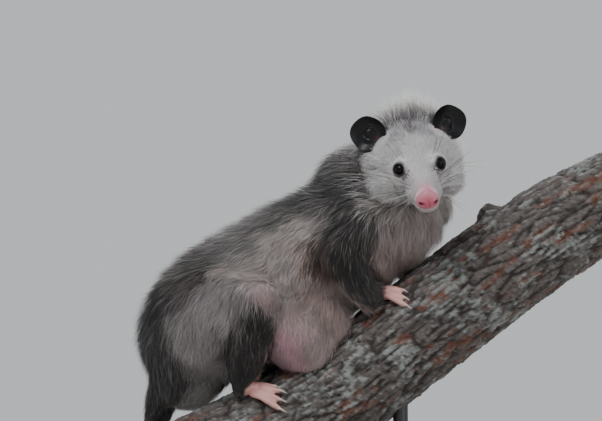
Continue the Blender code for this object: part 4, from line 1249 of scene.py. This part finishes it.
def hair_meshes(name, points, outs, widths, colours, charts):
    """Build tapered three-sided hairs as meshes, split so that none is too large."""
    count, rows = points.shape[:2]
    along = unit(np.gradient(points, axis=1))
    across = unit(np.cross(along, outs))
    above = np.cross(across, along)
    taper = np.interp(np.linspace(0, 1, rows), (0, 0.3, 0.7, 1), (0.85, 1.0, 0.62, 0.0))
    half = widths[:, None] / 2 * taper
    rings = []
    for k in range(3):
        a = 2 * math.pi * k / 3 + math.pi / 6
        rings.append(points + (across * math.cos(a) + above * math.sin(a)) * half[..., None])
    rings = np.stack(rings, 2)
    body = rings[:, :-1].reshape(count, -1, 3)
    verts = np.concatenate((body, points[:, -1:]), 1)
    per = verts.shape[1]
    tint = np.concatenate((np.repeat(colours[:, :-1], 3, 1), colours[:, -1:]), 1)
    pattern = [(0, 2, 1)]
    for row in range(rows - 2):
        for k in range(3):
            low, low_next = row * 3 + k, row * 3 + (k + 1) % 3
            pattern += [(low, low_next, low_next + 3), (low, low_next + 3, low + 3)]
    for k in range(3):
        pattern.append(((rows - 2) * 3 + k, (rows - 2) * 3 + (k + 1) % 3, per - 1))
    pattern = np.array(pattern)
    patch = np.concatenate((
        np.stack((np.tile(np.arange(3) / 3, rows - 1), np.repeat(np.arange(rows - 1) / rows, 3)), 1),
        np.array([[0.33, 1.0]]),
    )) * 0.003
    order = np.argsort(charts[:, 1], kind="stable")
    most = 190000 // len(pattern)
    parts = np.array_split(order, max(1, math.ceil(count / most)))
    made = []
    for number, part in enumerate(parts):
        mesh = bpy.data.meshes.new(name)
        n = len(part)
        mesh.vertices.add(n * per)
        mesh.vertices.foreach_set("co", verts[part].astype(np.float32).ravel())
        faces = (np.arange(n)[:, None, None] * per + pattern[None]).reshape(-1, 3)
        mesh.loops.add(faces.size)
        mesh.loops.foreach_set("vertex_index", faces.astype(np.int32).ravel())
        mesh.polygons.add(len(faces))
        mesh.polygons.foreach_set("loop_start", (np.arange(len(faces)) * 3).astype(np.int32))
        mesh.update(calc_edges=True)
        obj = bpy.data.objects.new(f"{name}_{number + 1}" if len(parts) > 1 else name, mesh)
        bpy.context.scene.collection.objects.link(obj)
        paint(obj, "tint", tint[part].reshape(-1, 3))
        chart = charts[part]
        chart = (chart - chart.min(0)) / np.maximum(np.ptp(chart, axis=0), 1e-6) * 0.99 + 0.002
        spots = (chart[:, None, :] + patch[None]).reshape(-1, 2)
        layer = mesh.uv_layers.new(name="OFBake")
        layer.data.foreach_set("uv", spots[faces.ravel()].astype(np.float32).ravel())
        made.append(obj)
    return made


def spines():
    """The middle lines of the body's parts, for the coat's maps."""
    lines = {"body": [s[:3] for s in smooth_path(NECK[:1] + TORSO[1:], 80)]}
    for name, leg in lower_legs().items():
        lines[name] = [s[:3] for s in smooth_path(leg, 20)]
    return {name: np.array(line) for name, line in lines.items()}


def chart_of(points, line):
    """The angle round a middle line, and the way along it, of each point."""
    away = np.linalg.norm(points[:, None] - line[None], axis=2)
    nearest = away.argmin(1)
    tangents = unit(np.gradient(line, axis=0))[nearest]
    across = unit(np.cross(tangents, np.array((0.3, 0.1, 1.0))))
    above = np.cross(across, tangents)
    out = points - line[nearest]
    slide = (out * tangents).sum(1)
    length = np.linalg.norm(line[1] - line[0])
    turn = np.arctan2((out * across).sum(1), (out * above).sum(1)) / (2 * math.pi)
    return np.stack((turn, nearest * length + slide), 1), away.min(1)


def coat_charts(roots):
    """Part each root belongs to, and its place on that part's unwrap."""
    local = to_head(roots)
    head = (local[:, 0] > -0.034) & (np.abs(local[:, 1]) < 0.048) & (np.abs(local[:, 2] + 0.006) < 0.044)
    parts = np.full(len(roots), "body", dtype=object)
    charts = np.zeros((len(roots), 2))
    nearest = np.full(len(roots), 9.0)
    for name, line in spines().items():
        chart, away = chart_of(roots, line)
        away = away * (0.35 if name == "body" else 1.0)
        closer = away < nearest
        charts[closer] = chart[closer]
        parts[closer] = name
        nearest = np.minimum(nearest, away)
    turn = np.arctan2(local[:, 1], -(local[:, 2] + 0.006)) / (2 * math.pi)
    charts[head] = np.stack((turn, local[:, 0]), 1)[head]
    parts[head] = "head"
    return parts, charts


def coat_roots(skin, draw):
    """Spread roots over the skin, closer where the hair is short, and none on bare places."""
    skin.data.calc_loop_triangles()
    count = len(skin.data.loop_triangles)
    corners = np.empty(count * 3, np.int32)
    skin.data.loop_triangles.foreach_get("vertices", corners)
    corners = read_points(skin)[corners].reshape(-1, 3, 3)
    middles = corners.mean(1)
    cross = np.cross(corners[:, 1] - corners[:, 0], corners[:, 2] - corners[:, 0])
    area = np.linalg.norm(cross, axis=1) / 2
    density = np.zeros(count)
    for start in range(0, count, 20000):
        piece = slice(start, start + 20000)
        weights = comb_weights(middles[piece])
        length = weights @ COMB_LENGTHS
        cover = weights @ COMB_COVER
        density[piece] = LAYERS / (length * hair_width(length)) * cover
    local = to_head(middles)
    eyes = np.min([np.linalg.norm(local - np.array(c), axis=1) for c in eye_centres()], axis=0)
    density *= (eyes > 0.0072) * (1 - foot_bareness(middles)) * (limb_depth(middles) < -0.001)
    bridge = bell(local, (0.082, 0, -0.0090), (0.008, 0.0055, 0.0055))
    density *= ~in_nose(middles) * (1 - np.clip(bridge * 1.6, 0, 1))
    cell = np.floor((middles - middles.min(0)) / 0.006).astype(int)
    order = np.lexsort((cell[:, 0] * np.where(cell[:, 1] % 2, -1, 1), cell[:, 1], cell[:, 2]))
    total = np.cumsum((density * area)[order])
    picks = np.searchsorted(total, np.arange(draw.random(), total[-1], 1.0))
    chosen = order[np.minimum(picks, count - 1)]
    u, v = draw.random((2, len(chosen)))
    flip = u + v > 1
    u[flip], v[flip] = 1 - u[flip], 1 - v[flip]
    a, b, c = corners[chosen, 0], corners[chosen, 1], corners[chosen, 2]
    roots = a + (b - a) * u[:, None] + (c - a) * v[:, None]
    return roots, unit(cross[chosen])


LAYERS = 4.2


def hair_width(length):
    return 0.00016 + 0.0055 * length


def grow_coat(skin):
    """Hair over the whole animal, in tufts, coloured and combed by the rows of the comb."""
    draw = np.random.default_rng(7)
    roots, normals = coat_roots(skin, draw)
    weights = np.concatenate([comb_weights(roots[i:i + 20000]) for i in range(0, len(roots), 20000)])
    count = len(roots)
    lies = weights @ COMB_LIES
    lies = unit(lies - (lies * normals).sum(1, keepdims=True) * normals)
    lengths = weights @ COMB_LENGTHS
    rises = weights @ COMB_RISES
    local = to_head(roots)
    eyes = np.min([np.linalg.norm(local - np.array(c), axis=1) for c in eye_centres()], axis=0)
    lengths *= 0.35 + 0.65 * smoothstep(0.007, 0.018, eyes)
    rises *= 0.35 + 0.65 * smoothstep(0.007, 0.018, eyes)
    widths = hair_width(lengths) * draw.uniform(0.8, 1.2, count)
    swirl = np.array([noise.noise(Vector(root) * 32) for root in roots])
    fine_swirl = np.array([noise.noise(Vector(root) * 95) for root in roots])
    loose = smoothstep(0.006, 0.020, lengths)
    sway = (draw.normal(0, 0.30, count) + swirl * 0.55 + fine_swirl * 0.55) * (0.45 + 0.55 * loose)
    lies = lies * np.cos(sway)[:, None] + np.cross(normals, lies) * np.sin(sway)[:, None]
    guard = draw.random(count) < weights @ COMB_GUARD
    lengths *= draw.uniform(0.72, 1.12, count) * np.where(guard, 1.15, 1.0)
    rises *= draw.uniform(0.50, 1.08, count) * np.where(guard, 1.20, 1.0)
    widths *= np.where(guard, 0.75, 1.0)
    runs = np.sqrt(np.maximum(lengths ** 2 - rises ** 2, (0.3 * lengths) ** 2))
    tree = tree_of(skin)
    parts, charts = coat_charts(roots)
    luck = draw.random(count)
    patchy = np.array([noise.noise(Vector(root) * 75 + Vector((3, 1, 7))) for root in roots])
    shade = draw.normal(1.0, 0.11, count) + patchy * (0.12 + 0.26 * loose)
    long = lengths > 0.020
    made = []
    for group, shares, every, pull in ((long, (0.5, 1.0), 11, 0.50), (~long, (0.5, 1.0), 10, 0.35)):
        index = np.flatnonzero(group)
        points, outs = march(tree, roots[index], normals[index], lies[index], runs[index], rises[index], shares)
        strength = np.where(guard[index], pull * 0.45, pull)
        tuft = clump(points, roots[index], every, strength, draw)
        halfway = (points[:, :-1] + points[:, 1:]) / 2
        flat = np.concatenate((points[:, 1:], halfway), axis=1).reshape(-1, 3)
        bad = (limb_depth(flat) > 0.0005) | in_ears(flat) | in_nose(flat)
        ball = np.min([np.linalg.norm(to_head(flat) - np.array(c), axis=1) for c in eye_centres()], axis=0)
        bad |= ball < EYE_RADIUS + 0.0009
        keep = ~bad.reshape(len(index), -1).any(1)
        keep &= ~in_ears(roots[index])
        tuft_luck = draw.random(tuft.max() + 1)[tuft]
        pick = (tuft_luck * 0.75 + luck[index] * 0.25)
        steps = np.cumsum(weights[index], axis=1)
        row = (steps < (pick * 0.9999)[:, None]).sum(1)
        row = np.minimum(row, len(COMB) - 1)
        under, tip = COMB_UNDER[row], COMB_TIP[row]
        pale = guard[index][:, None]
        bright = linear((0.90, 0.88, 0.85))
        tip = np.where(pale, np.maximum(bright * 0.70, tip), tip)
        under = np.where(pale, under * 0.5 + bright * 0.3, under)
        stops = np.concatenate(((0.0,), shares))
        turn = smoothstep(0.20, 0.95, stops)[None, :, None]
        colours = under[:, None] * (1 - turn) + tip[:, None] * turn
        # Painted shade: each hair is darker towards its root, where the coat shades itself.
        root_painted_shade = 0.60 + 0.40 * smoothstep(0.0, 0.4, stops)
        tuft_shade = draw.normal(1.0, 0.06, tuft.max() + 1)[tuft]
        colours = colours * root_painted_shade[None, :, None] * (shade[index] * tuft_shade)[:, None, None]
        colours = np.clip(colours, 0.003, 0.95)
        for part in sorted(set(parts[index])):
            mine = (parts[index] == part) & keep
            if mine.sum() < 3:
                continue
            name = f"coat_{part}_{'long' if group is long else 'short'}"
            made += hair_meshes(name, points[mine], outs[mine], widths[index][mine], colours[mine],
                                charts[index][mine])
    return made


def tint_skin(skin):
    """Paint the skin with the coat's own markings, darkened as painted shade under the fur, bare pink and black where
    it shows.
    """
    points = read_points(skin)
    tint = np.zeros_like(points)
    length = np.zeros(len(points))
    for start in range(0, len(points), 20000):
        piece = slice(start, start + 20000)
        weights = comb_weights(points[piece])
        # Painted shade: the skin under the coat is a darker blend of the hair's colours.
        tint[piece] = weights @ (COMB_UNDER * 0.55 + COMB_TIP * 0.20)
        length[piece] = weights @ COMB_LENGTHS
    pink, dark, lid = (linear(SKIN_COLOURS[key]) for key in ("pink", "dark", "lid"))
    local = to_head(points)
    # Less painted shade where the hair is short and the skin lies more open.
    short = smoothstep(0.012, 0.004, length)[:, None]
    tint = tint * (1 + 0.35 * short)
    snout = bell(local, (0.080, 0, -0.012), (0.010, 0.014, 0.012))[:, None]
    tint = tint * (1 - snout * 0.8) + linear((0.86, 0.64, 0.66)) * snout * 0.8
    bridge = bell(local, (0.080, 0, -0.0080), (0.010, 0.0060, 0.0060))[:, None]
    tint = tint * (1 - bridge) + linear((0.74, 0.52, 0.57)) * bridge
    bare = foot_bareness(points)[:, None]
    tint = tint * (1 - bare) + pink * bare
    pouch = (bell(points, POUCH_PLACE, (0.034, 0.05, 0.034)) * 0.6)[:, None]
    tint = tint * (1 - pouch) + linear((0.60, 0.40, 0.40)) * pouch
    for centre in eye_centres():
        away = np.linalg.norm(local - np.array(centre), axis=1)
        ring = smoothstep(0.0086, 0.0066, away)[:, None]
        tint = tint * (1 - ring) + lid * ring
    kd = KDTree(len(MOUTH_POINTS))
    for i, place in enumerate(MOUTH_POINTS):
        kd.insert(place, i)
    kd.balance()
    near_head = np.flatnonzero((local[:, 0] > 0.03) & (local[:, 2] < 0.0))
    away = np.full(len(points), 1.0)
    away[near_head] = [kd.find(Vector(p))[2] for p in local[near_head]]
    line = smoothstep(0.0022, 0.0010, away)[:, None]
    tint = tint * (1 - line) + dark * line
    paint(skin, "tint", tint)


def make_whiskers():
    """Stiff whiskers of muzzle, brow and cheek, dark and pale, in the head's own frame."""
    draw = random.Random(3)
    tree = tree_of(HEAD_SKIN)
    bm = bmesh.new()
    tints = []
    beds = []
    for side in (-1, 1):
        for row in range(4):
            for number in range(5):
                place = (0.067 - number * 0.0042, side * 0.012, -0.0075 - row * 0.0038)
                way = (-0.55 - 0.10 * number, side * (0.95 - 0.08 * number), 0.32 - 0.24 * row)
                beds.append((place, way, 0.030 + 0.0075 * number + 0.004 * (row == 1), 0.45))
        for number in range(3):
            beds.append(((0.046 - 0.003 * number, side * (0.013 + 0.003 * number), 0.014),
                         (-0.5, side * 0.35, 0.8), 0.026 + 0.006 * number, 0.0))
        for number in range(3):
            beds.append(((0.016 - 0.004 * number, side * 0.038, -0.010 - 0.003 * number),
                         (-0.6, side * 0.7, -0.1 - 0.2 * number), 0.036, 0.45))
    for place, way, length, pale_share in beds:
        place = Vector(place) + Vector([draw.uniform(-0.0008, 0.0008) for _ in range(3)])
        root, normal, _, _ = tree.find_nearest(HEAD_FRAME @ place)
        turn = HEAD_FRAME.to_3x3()
        way = (turn @ Vector([w + draw.uniform(-0.14, 0.14) for w in way])).normalized()
        way = (way + normal * 0.45).normalized()
        length *= draw.uniform(0.75, 1.15)
        bend = Vector((0, 0, -0.22)) + turn @ Vector((-0.35, 0, 0))
        path = []
        for step in range(11):
            share = step / 10
            spot = root - normal * 0.0008 + way * (length * share) + bend * (length * share ** 2 * 0.42)
            thick = 0.00022 * (1 - 0.86 * share)
            path.append((*spot, thick, thick))
        piece = tube("whisker", path, (0.3, 0.2, 1), 16, 5, ends=(1.0, 1.0), caps=(45,))
        bm.from_mesh(piece.data)
        pale = draw.random() < pale_share
        tints += [(0.80, 0.78, 0.74) if pale else (0.14, 0.12, 0.12)] * len(piece.data.vertices)
        drop(piece)
    whiskers = new_object("whiskers", bm)
    paint(whiskers, "tint", linear(tints))
    return whiskers


# ---- put together


def make_floor():
    bm = bmesh.new()
    bmesh.ops.create_circle(bm, cap_ends=True, segments=96, radius=30)
    floor = new_object("floor", bm)
    floor.data.materials.append(floor_material((0.62, 0.61, 0.59)))


def make_lights():
    """Plain soft studio light: a pale sky, a large key above the camera, a fill and a rim."""
    world = bpy.data.worlds.new("studio")
    world.use_nodes = True
    world.node_tree.nodes["Background"].inputs["Color"].default_value = (0.80, 0.82, 0.84, 1)
    world.node_tree.nodes["Background"].inputs["Strength"].default_value = 0.75
    bpy.context.scene.world = world
    aim = Vector((0.0, 0.0, 0.34))
    for name, place, size, power in (
        ("key", (-0.9, -1.7, 2.2), 1.1, 46.0),
        ("fill", (1.8, -1.6, 0.9), 1.4, 14.0),
        ("rim", (0.3, 1.7, 1.9), 1.0, 34.0),
    ):
        light = bpy.data.lights.new(name, "AREA")
        light.size = size
        light.energy = power
        lamp = bpy.data.objects.new(name, light)
        bpy.context.scene.collection.objects.link(lamp)
        lamp.location = place
        lamp.rotation_euler = (aim - Vector(place)).to_track_quat("-Z", "Y").to_euler()


def make_camera():
    """The photograph's view: from the animal's right and a little below, with a long lens."""
    lens = bpy.data.cameras.new("camera")
    lens.lens = 128.6
    lens.sensor_width = 36
    camera = bpy.data.objects.new("camera", lens)
    bpy.context.scene.collection.objects.link(camera)
    aim = Vector((-0.013, -0.035, 0.360))
    rise = math.radians(-8)
    camera.location = aim + Vector((0, -math.cos(rise), math.sin(rise))) * 2.0
    camera.rotation_euler = (aim - camera.location).to_track_quat("-Z", "Y").to_euler()
    bpy.context.scene.camera = camera


SKIN_NODES = (
    "head", "neck", "torso", "thigh_right", "thigh_left", "upper_arm_right", "upper_arm_left",
    "forearm_right", "forearm_left", "shank_right", "shank_left", "hand_right", "hand_left",
    "foot_right", "foot_left",
)

skin = make_body_skin()
head_skin, MOUTH_POINTS = make_head_skin()
HEAD_SKIN = head_skin.copy()
HEAD_SKIN.data = head_skin.data.copy()
bpy.context.scene.collection.objects.link(HEAD_SKIN)
boolean(skin, head_skin, "UNION")
for foot_name, leg_stations in lower_legs().items():
    boolean(skin, make_foot_skin(foot_name, leg_stations), "UNION")
tint_skin(skin)
wear(skin, skin_material(), "grey_coat", *SKIN_NODES)

hair = coat_material()
for piece in grow_coat(skin):
    wear(piece, hair, "grey_coat")
wear(make_whiskers(), hair, "grey_coat")
drop(HEAD_SKIN)

wear(make_nose(), nose_material(), "bare_pink", "nose")
ears = ear_material()
for ear_name, ear_side in (("ear_right", -1), ("ear_left", 1)):
    wear(make_ear(ear_name + "_cup", ear_side), ears, "bare_black", ear_name)
eyes = eye_material()
for eye_name, centre in zip(("eye_right", "eye_left"), eye_centres()):
    ball = ellipsoid(eye_name + "_ball", HEAD_FRAME @ centre, (EYE_RADIUS,) * 3, segments=64, rings=40)
    wear(ball, eyes, "eye_black", eye_name)
wear(make_claws(), horn_material(), "bare_pink")
wear(make_tail(), tail_material(), "tail_skin", "tail_base", "tail_middle", "tail_tip")
wear(make_limb(), bark_material(), "bark", "limb")
paint_job = stand_material()
for rod, rod_name in make_rods():
    wear(rod, paint_job, "stand_paint", rod_name)
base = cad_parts["stand_base"]
base.data.materials.clear()
base.data.materials.append(paint_job)

make_floor()
make_lights()
make_camera()
